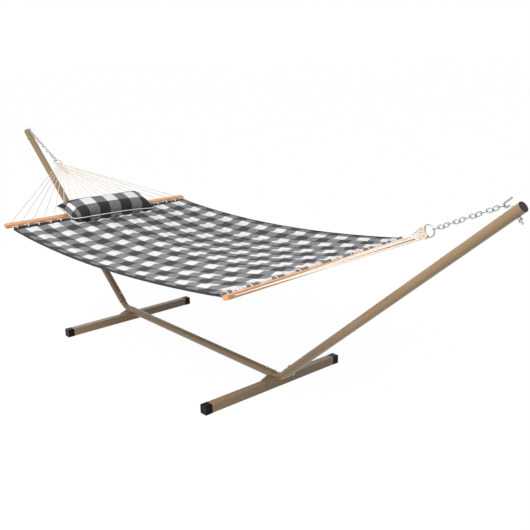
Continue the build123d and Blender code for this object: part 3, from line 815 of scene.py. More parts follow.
@dataclass
class Bed:
    """Padded check cloth between two hem rods, with slots in its hems for the lacing and bound long edges."""

    head_rod: tuple[float, float] = (-1.035, 0.7487)
    foot_rod: tuple[float, float] = (1.170, 0.8155)
    foot_yaw: float = math.radians(3.7)
    hem_offset: float = 0.070
    half_width: float = 0.690
    half_thickness: float = 0.005
    sag: float = 0.094
    skew: float = 0.09
    dish: float = 0.034
    curl: float = 3.5
    end_rise: float = 0.003
    ridge: float = 0.0035
    ridge_pitch: float = 0.0823
    ridge_shift: float = -0.0188
    ridge_crowd: float = 0.032
    crowd_at: float = -0.25
    crowd_width: float = 0.17
    bow_along: tuple[float, ...] = (0.0277, 0.0014, -0.0258, 0.0217, 0.0079, -0.0192, -0.0057, 0.0016)
    bow_across: tuple[float, ...] = (-0.0010, 0.0052, 0.0124, -0.0129, -0.0117, 0.0245, 0.0140, 0.0084)
    bow_from: float = -0.75
    bow_wave: float = 6.0
    bow_fade: tuple[float, float] = (0.56, 0.10)
    pucker: float = 0.0022
    ripple: float = 0.0012
    hem_radius: float = 0.012
    hem_taper: float = 0.018
    slot_pitch: float = 0.080
    slot_half: float = 0.0045
    slot_depth: float = 0.017
    binding_width: float = 0.011
    binding_height: float = 0.0115
    along: int = 150
    round: int = 9

    def share(self, x: np.ndarray) -> np.ndarray:
        """Share of the way from the head rod to the foot rod."""
        return (x - self.head_rod[0]) / (self.foot_rod[0] - self.head_rod[0])

    def hang(self, points: np.ndarray, station: np.ndarray) -> np.ndarray:
        """Turn points about the vertical by their station's part of the foot's yaw, the square of its share.

        Args:
            points: Points of a square hanging bed, with a last axis of 3.
            station: Distance along the bed that each point belongs to.

        Returns:
            The turned points.
        """
        turn = self.foot_yaw * np.clip(self.share(station), 0.0, 1.0) ** 2
        pivot = station + self.hem_offset
        x, y = points[..., 0] - pivot, points[..., 1]
        c, s = np.cos(turn), np.sin(turn)
        return np.stack([pivot + x * c - y * s, x * s + y * c, points[..., 2]], axis=-1)

    def height(self, x: np.ndarray, y: np.ndarray) -> np.ndarray:
        """Middle layer: a chord between the rods, less a skewed parabola, plus edges raised as a power of Y.

        Args:
            x: Distance along the bed.
            y: Distance across it.

        Returns:
            Height above the floor.
        """
        share = self.share(x)
        bow = 4.0 * share * (1.0 - share)
        chord = self.head_rod[1] + (self.foot_rod[1] - self.head_rod[1]) * share
        raised = np.maximum(self.dish * bow, self.end_rise)
        across = np.minimum(np.abs(y) / self.half_width, 1.02) ** self.curl
        return chord - self.sag * bow * (1.0 + self.skew * (0.5 - share)) + raised * across

    def weave_place(self, x: np.ndarray, y: np.ndarray) -> np.ndarray:
        """Place on the straight weave, whose lines bow each way.

        The bow is a parabola of X, plus another times a sine of Y, plus a straight line of X times Y.

        Args:
            x: Distance along the bed.
            y: Distance across it.

        Returns:
            Places with a last axis of 2; the bow across fades out at the bound edges.
        """
        near = np.clip(x, self.bow_from, None)
        wave = np.sin(self.bow_wave * y)
        bends = [np.ones_like(near), near, near ** 2, wave, wave * near, wave * near ** 2, y, y * near]
        terms = np.stack(bends, axis=-1)
        fade = 1.0 - smooth_step((np.abs(y) - self.bow_fade[0]) / self.bow_fade[1])
        across = terms @ np.array(self.bow_across) * fade
        return np.stack([x - terms @ np.array(self.bow_along), y - across], axis=-1)

    def columns(self) -> tuple[np.ndarray, np.ndarray]:
        """Lines across the bed, with a pair at each side of every slot.

        Returns:
            The place of each line and whether it lies in a slot.
        """
        places = bore_places(self.slot_pitch)
        sharp = 0.0004
        inner = np.stack([places - self.slot_half + sharp, places, places + self.slot_half - sharp], axis=1).ravel()
        outer = np.stack([places - self.slot_half, places + self.slot_half], axis=1).ravel()
        starts = np.r_[-self.half_width, places + self.slot_half]
        ends = np.r_[places - self.slot_half, self.half_width]
        between = (starts[:, None] + (ends - starts)[:, None] * np.linspace(0, 1, 11)[None, 1:-1]).ravel()
        rim = np.array([-self.half_width, self.half_width])
        y = np.r_[inner, outer, between, rim]
        cut = np.r_[np.ones(len(inner), bool), np.zeros(len(outer) + len(between) + 2, bool)]
        order = np.argsort(y)
        return y[order], cut[order]

    def surface(self) -> tuple[np.ndarray, np.ndarray]:
        """Closed loop for each line: top layer, round the foot rod, lower layer back, round the head rod.

        Half the thickness swells from the quilted layer to the hem as a Gaussian of the distance from the rod; the
        cloth puckers between the lacing places as a cosine of Y that fades with that distance. Long ridges are a
        cosine of Y that wanders a little along the bed, crowds together off the middle as a Gaussian of Y and fades out
        at the hems.

        Returns:
            Points of shape (loop, lines, 3), and the place on the cloth of each, of shape (loop, lines, 2).
        """
        y, cut = self.columns()
        inset = np.where(cut, self.slot_depth, 0.0)
        head, foot = self.head_rod[0] + inset, self.foot_rod[0] - inset
        share = 0.5 - 0.5 * np.cos(np.linspace(0.0, math.pi, self.along))
        share = 0.35 * share + 0.65 * np.linspace(0.0, 1.0, self.along)
        x = head + (foot - head) * share[:, None]
        off = np.minimum(x - self.head_rod[0], self.foot_rod[0] - x)
        half = self.half_thickness + (self.hem_radius - self.half_thickness) * np.exp(-(off / self.hem_taper) ** 2)
        middle = self.height(x, y)
        pucker = self.pucker * np.cos(2 * math.pi * y / self.slot_pitch) * np.exp(-off / 0.11) * smooth_step(off / 0.04)
        ripple = self.ripple * np.sin(19.0 * x + 7.0 * y) * np.sin(11.0 * y - 5.0 * x) * smooth_step(off / 0.2)
        drift = 0.006 * np.sin(3.1 * x + 4.0 * y) + 0.004 * np.sin(7.3 * x - 9.0 * y)
        crowd = self.ridge_crowd * np.exp(-((y - self.crowd_at) / self.crowd_width) ** 2)
        ridge = self.ridge * np.cos(2 * math.pi * (y - self.ridge_shift - crowd + drift) / self.ridge_pitch)
        middle = middle + pucker + ripple + ridge * smooth_step((off - 0.02) / 0.10)
        top, bottom = middle + half, middle - half
        turn = np.linspace(0.0, math.pi, self.round + 2)[1:-1, None]
        reach = np.where(cut, 0.004, self.hem_radius)
        foot_x = foot + reach * np.sin(turn)
        foot_z = middle[-1] + half[-1] * np.cos(turn)
        head_x = head - reach * np.sin(turn)
        head_z = middle[0] - half[0] * np.cos(turn)
        loop_x = np.concatenate([x, foot_x, x[::-1], head_x])
        loop_z = np.concatenate([top, foot_z, bottom[::-1], head_z])
        loop_y = np.broadcast_to(y, loop_x.shape)
        station = np.clip(loop_x, self.head_rod[0], self.foot_rod[0])
        points = self.hang(np.stack([loop_x, loop_y, loop_z], axis=2), station)
        return points, self.weave_place(loop_x, loop_y)

    def build_cloth(self, material: bpy.types.Material) -> bpy.types.Object:
        """Build the bed: the loops joined along Y, and the two long sides closed between top and bottom.

        Args:
            material: Cloth of the bed.

        Returns:
            The piece.
        """
        points, cloth = self.surface()
        loop, lines = points.shape[:2]
        quads = grid_quads(loop, lines, True, False)
        up = np.arange(self.along - 1)
        down = 2 * self.along + self.round - 1 - up
        sides = [np.stack([up, up + 1, down - 1, down], axis=1) * lines + end for end in (0, lines - 1)]
        sides[0] = sides[0][:, ::-1]
        arcs = []
        for start, first, last in ((self.along, self.along - 1, self.along + self.round),
                                   (2 * self.along + self.round, 2 * self.along + self.round - 1, 0)):
            ring = np.r_[first, np.arange(start, start + self.round), last] * lines
            arcs += [ring[None, ::-1], ring[None, :] + lines - 1]
        faces = [quads] + sides + arcs
        uv = [cloth.reshape(-1, 2)[index] for index in faces]
        piece = build_piece("bed_cloth", points.reshape(-1, 3), faces, uv)
        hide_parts("bed")
        finish_piece(piece, "hammock", material)
        return piece

    def build_binding(self, hand: int, material: bpy.types.Material) -> bpy.types.Object:
        """Build a bound edge: a rounded rectangle, a power of cosine and sine, carried along the bed's edge.

        Args:
            hand: Sign of the edge's place along Y.
            material: Cloth of the binding.

        Returns:
            The piece.
        """
        x = np.linspace(self.head_rod[0], self.foot_rod[0], 220)
        edge = self.height(x, np.full_like(x, self.half_width))
        turn = np.linspace(0.0, 2 * math.pi, 20, endpoint=False)
        wide = np.sign(np.cos(turn)) * np.abs(np.cos(turn)) ** 0.6 * self.binding_width / 2
        tall = np.sign(np.sin(turn)) * np.abs(np.sin(turn)) ** 0.6 * self.binding_height / 2
        off = np.minimum(x - x[0], x[-1] - x)
        swell = 1.0 + 0.05 * np.sin(x * 61.0) * np.sin(x * 23.0) + 0.5 * np.exp(-(off / 0.012) ** 2)
        close = np.sqrt(np.clip(off / 0.004, 0.02, 1.0))
        middle = hand * (self.half_width + 0.0002 + self.binding_width / 2)
        rings = np.stack([np.broadcast_to(x[:, None], (len(x), len(turn))),
                          middle + wide * close[:, None],
                          edge[:, None] + tall * (swell * close)[:, None]], axis=2)
        rings = self.hang(rings, np.broadcast_to(x[:, None], rings.shape[:2]))
        points, faces, uv = tube_mesh(rings, x - x[0])
        word = "left" if hand < 0 else "right"
        piece = build_piece(f"binding_{word}", points, faces, uv)
        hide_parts(f"edge_binding_{word}")
        finish_piece(piece, "hammock", material)
        return piece

    def build(self, cloth: bpy.types.Material, tape: bpy.types.Material) -> None:
        sheet = self.build_cloth(cloth)
        bindings = [self.build_binding(hand, tape) for hand in (-1, 1)]


# ---------------------------------------------------------------------------------------------------------------
# Pillow
# ---------------------------------------------------------------------------------------------------------------


@dataclass
class Pillow:
    """Stuffed check pillow with drawn-in sides, dog-ear corners and light piping round its seam."""

    length: float = 0.640
    depth: float = 0.256
    crown: float = 0.0745
    belly: float = 0.0480
    draw_depth: float = 0.016
    draw_length: float = 0.022
    ear: float = 0.016
    slump: float = 0.046
    blunt: float = 0.020
    plump: float = 0.022
    end_drop: float = 0.016
    lean: float = 0.07
    gather: float = 0.09
    tilt: float = math.radians(18.5)
    place: tuple[float, float] = (-1.040, 0.030)
    seam_rise: float = 0.015
    corner_rise: float = 0.022
    piping: float = 0.0034
    packed_drop: float = 0.026
    packed_lip: float = 0.0025
    swell_cap: float = 0.010
    swell_frames: int = 20
    pressure: float = 4.0
    rows: int = 109
    columns: int = 55

    def floor_height(self) -> float:
        """Height of the middle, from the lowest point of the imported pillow.

        Returns:
            Height above the floor.
        """
        s, t = np.meshgrid(np.linspace(-1, 1, 161), np.linspace(-1, 1, 81), indexing="ij")
        half = self.depth / 2 - self.draw_depth * (1 - s * s)
        drop = self.packed_drop * np.sqrt(1 - s ** 6) + 0.0004
        radius = (half * half + drop * drop) / (2 * drop)
        x = t * half
        under = -(self.packed_lip + np.sqrt(radius * radius - x * x) - (radius - drop))
        low = float((-x * math.sin(self.tilt) + under * math.cos(self.tilt)).min())
        return float(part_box("pillow")[0][2]) - low

    def sheet(self, s: np.ndarray, t: np.ndarray, upper: bool) -> np.ndarray:
        """One side of the pillow over the square of its two parameters, in its own frame.

        The outline is a rectangle drawn in between its corners by one less the square of the other parameter. The
        height is the full swell times a root of one less a power of each parameter, so the cloth stands up from the
        seam; the swell falls evenly towards one end. The other end is longer and plumper: its front corner is drawn in
        and up, and its seam sags between the corners. The lower side slumps forwards under the front seam.

        Args:
            s: Share of the half length, -1 to 1.
            t: Share of the half depth, -1 to 1.
            upper: Whether this is the upper side.

        Returns:
            Points with the shape of s and a last axis of 3.
        """
        half = self.depth / 2 - self.draw_depth * (1 - s * s * np.where(t > 0, 0.35, 1.0))
        reach = self.length / 2 - self.draw_length * (1 - t * t) + self.ear * t ** 8 * (t < 0)
        reach = reach + (self.plump - self.blunt * np.clip(t, 0, 1) ** 4) * smooth_step(-4.0 * s)
        seam = self.seam_rise * (1 - s * s) * np.clip(t, 0, 1) ** 2
        seam = seam + self.corner_rise * np.clip(-s, 0, 1) ** 2 * np.clip(t, 0, 1) ** 2
        seam = seam - self.end_drop * np.clip(-s, 0, 1) ** 4 * (1 - t * t)
        ends = (1 - np.abs(s) ** 7) ** 0.5
        sides = (1 - np.abs(t) ** 2.2) ** 0.5 if upper else (1 - np.abs(t) ** 3.0) ** 0.45
        rise = self.crown * (1 - self.lean * (1 + s)) if upper else -self.belly
        crease = 0.0016 * np.sin(46.0 * s + 9.0 * t * t) * (np.abs(t) ** 3) * (1 - s * s)
        full = rise * ends * sides + (crease if upper else 0.0) * sides
        slump = 0.0 if upper else self.slump * smooth_step((t - 0.3) / 0.5) * (1 - np.abs(t) ** 9) * ends
        return np.stack([t * half + slump, s * reach, seam + full], axis=-1)

    def rest_on(self, points: np.ndarray, bed: Bed) -> np.ndarray:
        """Flatten the pillow where it lies on the bed, the hem and the bar: each point is kept above all three.

        Args:
            points: Placed points, of shape (n, 3).
            bed: The bed that it lies on.

        Returns:
            The raised points.
        """
        x, y = points[:, 0], points[:, 1]
        inner = np.maximum(x, bed.head_rod[0])
        cloth = bed.height(inner, y) + bed.half_thickness + bed.ridge
        round_off = np.clip(1.0 - ((x - bed.head_rod[0]) / bed.hem_radius) ** 2, 0.0, 1.0)
        hem = bed.head_rod[1] + bed.end_rise + bed.hem_radius * np.sqrt(round_off)
        low, high = np.array(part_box("spreader_bar_head"))
        bar = np.where((x > low[0] - 0.002) & (x < high[0] + 0.002), high[2], 0.0)
        hem = np.where(round_off > 0.0, hem, 0.0)
        cloth = np.where(x > bed.head_rod[0], cloth, 0.0)
        floor = np.maximum(np.maximum(cloth, hem), bar) + 0.0008
        return np.stack([x, y, np.maximum(points[:, 2], floor)], axis=1)

    def place_points(self, points: np.ndarray) -> np.ndarray:
        """Tilt the pillow about Y and set it in its place."""
        c, s = math.cos(self.tilt), math.sin(self.tilt)
        x = points[..., 0] * c + points[..., 2] * s + self.place[0]
        z = -points[..., 0] * s + points[..., 2] * c + self.floor_height()
        return np.stack([x, points[..., 1] + self.place[1], z], axis=-1)

    def inflate(self, piece: bpy.types.Object) -> None:
        """Swell the cover with cloth simulation: air pressure, no gravity, each point's move held to a cap.

        Args:
            piece: The pillow's cover; its points move.
        """
        scene = bpy.context.scene
        rest = vertex_values(piece.data.vertices, "co")
        cloth = piece.modifiers.new("fill", "CLOTH")
        cloth.settings.quality = 6
        cloth.settings.mass = 0.25
        cloth.settings.tension_stiffness = 20.0
        cloth.settings.compression_stiffness = 20.0
        cloth.settings.bending_stiffness = 0.4
        cloth.settings.use_pressure = True
        cloth.settings.uniform_pressure_force = self.pressure
        cloth.settings.effector_weights.gravity = 0.0
        cloth.point_cache.frame_start = 1
        cloth.point_cache.frame_end = self.swell_frames
        for number in range(1, self.swell_frames + 1):
            scene.frame_set(number)
        grown = piece.evaluated_get(bpy.context.evaluated_depsgraph_get()).to_mesh()
        move = vertex_values(grown.vertices, "co") - rest
        move -= move.mean(axis=0)
        size = np.linalg.norm(move, axis=1, keepdims=True)
        move *= np.minimum(1.0, self.swell_cap / np.maximum(size, 1e-9))
        under = vertex_values(piece.data.vertices, "normal")[:, 2:3] < 0.1
        move = np.where(under, move * [1.0, 1.0, 0.0], move)
        piece.modifiers.remove(cloth)
        scene.frame_set(1)
        piece.data.vertices.foreach_set("co", (rest + move).astype(np.float32).ravel())
        piece.data.update()
        log.info("pillow swells by %.1f mm at most", 1000 * float(np.linalg.norm(move, axis=1).max()))

    def build(self, bed: Bed, cloth: bpy.types.Material, cord: bpy.types.Material) -> None:
        """Build the cover as two sheets sewn along their edge, swell it, and sew the piping round the seam.

        Args:
            bed: The bed that it lies on.
            cloth: Check cloth of the cover.
            cord: Cloth of the piping.
        """
        line_s = np.sin(np.linspace(-1, 1, self.rows) * math.pi / 2) * 0.5 + np.linspace(-1, 1, self.rows) * 0.5
        line_t = np.sin(np.linspace(-1, 1, self.columns) * math.pi / 2) * 0.6 + np.linspace(-1, 1, self.columns) * 0.4
        s, t = np.meshgrid(line_s, line_t, indexing="ij")
        upper, lower = self.sheet(s, t, True), self.sheet(s, t, False)
        count = self.rows * self.columns
        inside = np.zeros((self.rows, self.columns), bool)
        inside[1:-1, 1:-1] = True
        number = np.arange(count).reshape(self.rows, self.columns)
        below = number.copy()
        below[inside] = count + np.arange(inside.sum())
        points = np.concatenate([upper.reshape(-1, 3), lower[inside]])
        quads = grid_quads(self.rows, self.columns, False, False)
        uv = []
        for side in (upper, lower):
            step = np.linalg.norm(np.diff(side, axis=1), axis=2)
            across = np.concatenate([np.zeros((self.rows, 1)), np.cumsum(step, axis=1)], axis=1)
            across = across[:, -1:] - across
            step = np.linalg.norm(np.diff(side, axis=0), axis=2)
            along = np.concatenate([np.zeros((1, self.columns)), np.cumsum(step, axis=0)], axis=0)
            along = along - along[self.rows // 2] - self.gather * smooth_step((-s - 0.86) / 0.14)
            uv.append(np.stack([along, across], axis=2).reshape(-1, 2)[quads])
        faces = [quads[:, ::-1], below.ravel()[quads]]
        uv[0] = uv[0][:, ::-1]
        piece = build_piece("pillow_cover", self.rest_on(self.place_points(points), bed), faces, uv)
        self.inflate(piece)
        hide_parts("pillow")
        finish_piece(piece, "pillow", cloth)
        self.build_piping(piece, number, cord)

    def build_piping(self, cover: bpy.types.Object, number: np.ndarray, cord: bpy.types.Material) -> None:
        """Carry a round piping along the cover's seam, a little outside it.

        Args:
            cover: The swollen cover.
            number: Index of the cover's upper points by row and column.
            cord: Cloth of the piping.
        """
        place = vertex_values(cover.data.vertices, "co")
        ring = np.concatenate([number[:-1, -1], number[-1, :0:-1], number[:0:-1, 0], number[0, :-1]])
        path = place[ring].astype(float)
        kernel = np.ones(3) / 3
        wide = np.concatenate([path[-2:], path, path[:2]])
        path = np.stack([np.convolve(wide[:, k], kernel, "same") for k in range(3)], axis=1)[2:-2]
        tangent = unit_rows(np.roll(path, -1, axis=0) - np.roll(path, 1, axis=0))
        up = np.array([math.sin(self.tilt), 0.0, math.cos(self.tilt)])
        out = unit_rows(np.cross(tangent, up))
        if float(np.einsum("ij,ij->", out, path - path.mean(axis=0))) < 0:
            out = -out
        over = np.cross(out, tangent)
        turn = np.linspace(0.0, 2 * math.pi, 12, endpoint=False)
        centre = path + out * self.piping * 0.4
        rings = (centre[:, None] + self.piping * (np.cos(turn)[None, :, None] * out[:, None]
                                                  + np.sin(turn)[None, :, None] * over[:, None]))
        distance = run_length(np.r_[path, path[:1]])
        quads = grid_quads(len(path), len(turn), True, True)
        uv = quad_uv(distance, np.arange(len(turn) + 1) / len(turn), len(path), len(turn))
        piece = build_piece("pillow_piping", rings.reshape(-1, 3), [quads], [uv])
        finish_piece(piece, "pillow", cord)


# ---------------------------------------------------------------------------------------------------------------
# Suspension
# ---------------------------------------------------------------------------------------------------------------


@dataclass
class Suspension:
    """Nine doubled cords at one end: lacing, bores of the bar, fan, woven mat and a turn round the ring."""

    end: End
    ring: tuple[float, float]
    bar: tuple[float, float]
    rod: tuple[float, float]
    ring_turn: float = 0.0
    yaw: float = 0.0
    lacing_lift: float = 0.008
    lacing_swell: float = 0.0
    lacing_run: float = 0.105
    wrap_radius: float = 0.0113
    bore_mouth: float = 0.024
    end_off: float = 0.0235
    end_drop: float = 0.0075
    mat_start: float = 0.044
    lead: float = 0.030
    strand_pitch: float = 0.0060
    strand_wave: float = 0.0016
    strand_layer: float = 0.0026
    turn_pitch: float = 0.0058
    weft: float = 0.0045
    cord: float = 0.005
    pitch: float = 0.080
    ring_mean: float = 0.0283
    bar_tilt: float = math.radians(18.0)
    mat_from: float = 0.010
    mat_to: float = 0.190
    mat_half: float = 0.034
    mat_tip: float = 0.007
    first_leave: float = 0.048
    last_leave: float = 0.182
    row: float = 0.0105
    lay: float = 0.024
    step: float = 0.003
    around: int = 12

    @property
    def side(self) -> int:
        """Sign of this end along X."""
        return self.end.value

    @property
    def outward(self) -> np.ndarray:
        """Direction of the bar's bores, away from the bed."""
        return np.array([self.side * math.cos(self.bar_tilt), 0.0, math.sin(self.bar_tilt)])

    @property
    def forward(self) -> np.ndarray:
        """Direction from the ring to the bar."""
        run = np.array([self.bar[0] - self.ring[0], 0.0, self.bar[1] - self.ring[1]])
        return run / np.linalg.norm(run)

    @property
    def normal(self) -> np.ndarray:
        """Upward normal of the fan of cords."""
        return self.side * np.cross(Y_AXIS, self.forward)

    def hang(self, points: np.ndarray) -> np.ndarray:
        """Turn points about the vertical through the bar's middle, by the bar's yaw."""
        x, y = points[..., 0] - self.bar[0], points[..., 1]
        c, s = math.cos(self.yaw), math.sin(self.yaw)
        return np.stack([self.bar[0] + x * c - y * s, x * s + y * c, points[..., 2]], axis=-1)

    def cross_axes(self, turn: np.ndarray) -> tuple[np.ndarray, np.ndarray]:
        """Directions across the mat and out of it, at a turn about its length."""
        c, s = np.cos(turn)[..., None], np.sin(turn)[..., None]
        return c * Y_AXIS + s * self.normal, c * self.normal - s * Y_AXIS

    def mat_point(self, reach: np.ndarray, across: np.ndarray, layer: np.ndarray) -> np.ndarray:
        """Point of the mat: its cross axes turn from the ring's plane to the fan's as an ease of the reach.

        Args:
            reach: Distance from the ring's centre towards the bar.
            across: Distance across the mat.
            layer: Distance out of the mat.

        Returns:
            Points with a last axis of 3.
        """
        turn = self.ring_turn * (1.0 - smooth_step((np.asarray(reach) - 0.030) / 0.080))
        flat, out = self.cross_axes(turn)
        centre = np.array([self.ring[0], 0.0, self.ring[1]])
        return (centre + np.asarray(reach)[..., None] * self.forward + np.asarray(across)[..., None] * flat
                + np.asarray(layer)[..., None] * out)

    def mat_width(self, reach: np.ndarray) -> np.ndarray:
        """Half width of the mat, a straight taper."""
        share = np.clip((reach - self.mat_from) / (self.mat_to - self.mat_from), 0.0, 1.0)
        return self.mat_half + (self.mat_tip - self.mat_half) * share

    def leave_reach(self, y: float) -> float:
        """Reach at which the cord of a bore leaves the mat: the outermost first."""
        return self.last_leave + (self.first_leave - self.last_leave) * abs(y) / bore_places(self.pitch)[-1]

    def lacing_route(self, y: float, number: int) -> np.ndarray:
        """Route's points from the bar's inner face, under and round the hem rod, back through the bore.

        Args:
            y: Place of the bore.
            number: Number of the bore, for the small differences of hand lacing.

        Returns:
            Points from the cord's end to the bore's mouth.
        """
        outward = self.outward
        upward = np.array([-self.side * math.sin(self.bar_tilt), 0.0, math.cos(self.bar_tilt)])
        bar = np.array([self.bar[0], y, self.bar[1]])
        rod = np.array([self.rod[0], y, self.rod[1]])
        sway = 0.012 + 0.008 * math.sin(2.3 * number + 0.4)
        lift = self.lacing_lift + 0.003 * math.sin(1.7 * number)
        turn = np.radians(np.array([-60.0, -120.0, -180.0, 120.0, 60.0]))
        radius = self.wrap_radius + np.array([0.0, 0.0, 0.0005, 0.7 * lift, lift])
        wrap = rod + np.stack([self.side * radius * np.cos(turn), np.array([0.0, 0.0, 0.0, 0.6, 1.0]) * sway,
                               radius * np.sin(turn)], axis=1)
        last = bar - outward * self.end_off - upward * self.end_drop
        first = last + (wrap[0] - last) * 0.5 - np.array([0.0, 0.0, 0.002])
        climb = bar - outward * 0.038 + upward * (0.8 * lift) + Y_AXIS * (0.7 * sway)
        bore = bar + np.array([-1.0, -0.5, 0.5, 1.0])[:, None] * self.bore_mouth * outward
        return self.hang(np.concatenate([last[None], first[None], wrap, climb[None], bore]))

    def fan_route(self, y: float, pair: float, layer: float) -> np.ndarray:
        """Route's points from the bore's mouth along the fan and through the mat to the ring.

        Args:
            y: Place of the bore.
            pair: Number of the doubled cord, -4 to 4.
            layer: Sign of the layer that this half runs in.

        Returns:
            Points from the fan to the ring's wire.
        """
        outward = self.outward
        mouth = self.hang(np.array([self.bar[0], y, self.bar[1]]) + outward * self.bore_mouth)
        leave = self.leave_reach(y)
        edge = math.copysign(1.0, y) * (self.mat_width(np.array(leave)) - self.cord / 2)
        count = max(2, int(round((leave - 0.040) / self.row)) + 1)
        reach = np.linspace(leave, self.mat_start, count)
        start = pair * self.strand_pitch
        share = (reach - self.mat_start) / max(leave - self.mat_start, 1e-6)
        across = start + (edge - start) * share
        wave = np.where((np.arange(count) + int(pair)) % 2 == 0, 1.0, -1.0) * self.strand_wave
        mat = self.mat_point(reach, across, layer * self.strand_layer + wave)
        run = mat[0] - mouth
        unit = run / np.linalg.norm(run)
        straight = np.stack([mouth + unit * self.lead, mat[0] - unit * self.lead])
        return np.concatenate([straight, mat])

    def ring_route(self, pair: float) -> np.ndarray:
        """Route's points of one turn round the ring's wire, at the pair's place along the ring."""
        angle = pair * self.turn_pitch / self.ring_mean
        radius = np.array([0.0120, 0.0020, -0.0061, -0.0061, 0.0020, 0.0120])
        layer = np.array([0.0052, 0.0064, 0.0060, -0.0060, -0.0064, -0.0052])
        flat, out = self.cross_axes(np.array(self.ring_turn))
        ray = math.cos(angle) * self.forward + math.sin(angle) * flat
        centre = np.array([self.ring[0], 0.0, self.ring[1]])
        return centre + (self.ring_mean + radius)[:, None] * ray + layer[:, None] * out

    def rope(self, route: np.ndarray, upright: np.ndarray, size: float) -> TubeMesh:
        """Carry a laid rope's section along a route: three lobes that wind round with the distance.

        Args:
            route: Route's points.
            upright: Direction that the section's frame keeps to.
            size: Diameter of the rope.

        Returns:
            Points, index arrays and corner coordinates.
        """
        path = spline_points(route, self.step)
        tangent = unit_rows(np.gradient(path, axis=0))
        plain = upright - np.einsum("ij,j->i", tangent, upright)[:, None] * tangent
        turned = np.cross(tangent, Y_AXIS)
        weight = smooth_step((np.linalg.norm(plain, axis=1, keepdims=True) - 0.25) / 0.5)
        sign = np.sign(np.einsum("ij,ij->i", turned, plain))[:, None]
        up = unit_rows(weight * plain + (1.0 - weight) * turned * np.where(sign == 0, 1.0, sign))
        side = np.cross(tangent, up)
        distance = run_length(path)
        turn = np.linspace(0.0, 2 * math.pi, self.around, endpoint=False)
        lobe = np.abs(np.cos(1.5 * (turn[None, :] - 2 * math.pi * distance[:, None] / self.lay)))
        radius = size / 2 * (0.86 + 0.16 * lobe)
        from_end = np.minimum(distance, distance[-1] - distance)
        close = np.clip(from_end / 0.002, 0.3, 1.0)
        swell = 1.0 + self.lacing_swell * smooth_step((self.lacing_run - from_end) / 0.020)
        radius = radius * (close * swell)[:, None]
        rings = path[:, None] + radius[..., None] * (np.cos(turn)[None, :, None] * side[:, None]
                                                     + np.sin(turn)[None, :, None] * up[:, None])
        return tube_mesh(rings, distance)

    def weft_route(self) -> np.ndarray:
        """Route's points of the strand woven through the mat: to and fro, over and under each doubled cord."""
        rows = np.arange(0.052, self.mat_to - 0.012, self.row)
        share = np.linspace(-1.0, 1.0, 9)
        way = np.where(np.arange(len(rows)) % 2 == 0, 1.0, -1.0)
        across = (way[:, None] * share[None, :] * (self.mat_width(rows)[:, None] - 0.001))
        turn = np.abs(share) ** 8 * self.row * 0.3 * share * way[:, None]
        reach = np.broadcast_to(rows[:, None], across.shape) + turn
        over = np.where((np.arange(len(rows))[:, None] + np.arange(9)[None, :]) % 2 == 0, 1.0, -1.0) * 0.0046
        return self.mat_point(reach.ravel(), across.ravel(), over.ravel())

    def build(self, material: bpy.types.Material) -> None:
        """Build the cords of this end as one piece, and the strand woven through the mat."""
        places = bore_places(self.pitch)
        parts = []
        for pair in range(BORES // 2):
            near, far = places[2 * pair], places[2 * pair + 1]
            number = pair - 4.0
            there = np.concatenate([self.lacing_route(near, 2 * pair), self.fan_route(near, number, 1.0)])
            back = np.concatenate([self.lacing_route(far, 2 * pair + 1), self.fan_route(far, number, -1.0)])
            route = np.concatenate([there, self.ring_route(number), back[::-1]])
            parts.append(self.rope(route, self.normal, self.cord))
        parts.append(self.rope(self.weft_route(), self.forward, self.weft))
        points, faces, uv = join_tubes(parts)
        piece = build_piece(f"suspension_{self.end.label}", points, faces, uv)
        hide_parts(f"cords_{self.end.label}", f"clew_{self.end.label}")
        finish_piece(piece, "hammock", material)


# ---------------------------------------------------------------------------------------------------------------
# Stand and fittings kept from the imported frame
# ---------------------------------------------------------------------------------------------------------------


@dataclass
class Fittings:
    """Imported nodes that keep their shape, by the finish that they get."""

    painted: tuple[str, ...] = ("base_beam_head", "base_beam_foot", "saddle_head", "saddle_foot", "elbow_head",
                                "elbow_foot", "center_tube", "arm_head", "arm_foot")
    capped: tuple[str, ...] = ("beam_cap_head_left", "beam_cap_head_right", "beam_cap_foot_left",
                               "beam_cap_foot_right")
    plugged: tuple[str, ...] = ("arm_plug_head", "arm_plug_foot")
    plated: tuple[str, ...] = ("joint_bolts", "joint_nuts", "hook_head", "hook_foot", "hook_washer_head",
                               "hook_washer_foot", "wing_nut_head", "wing_nut_foot", "chain_head", "chain_foot",
                               "ring_head", "ring_foot")
    wooden: tuple[str, ...] = ("spreader_bar_head", "spreader_bar_foot", "hem_rod_head", "hem_rod_foot")

    def dress_nodes(self, effects: Effects) -> None:
        """Give each kept node its finish."""
        finishes = ((self.painted, PowderCoat()),
                    (self.capped, MouldedPlastic("cap plastic", (0.004, 0.0034, 0.0028, 1.0))),
                    (self.plugged, MouldedPlastic("plug plastic", (0.060, 0.050, 0.058, 1.0), 0.5, 0.7)),
                    (self.plated, ZincPlate()),
                    (self.wooden, VarnishedWood()))
        for nodes, finish in finishes:
            material = finish.build(effects)
            for node in nodes:
                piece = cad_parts[node]
                for slot in piece.material_slots:
                    slot.material = material
                log.info("%s: %s", node, material.name)


# ---------------------------------------------------------------------------------------------------------------
# Studio
# ---------------------------------------------------------------------------------------------------------------


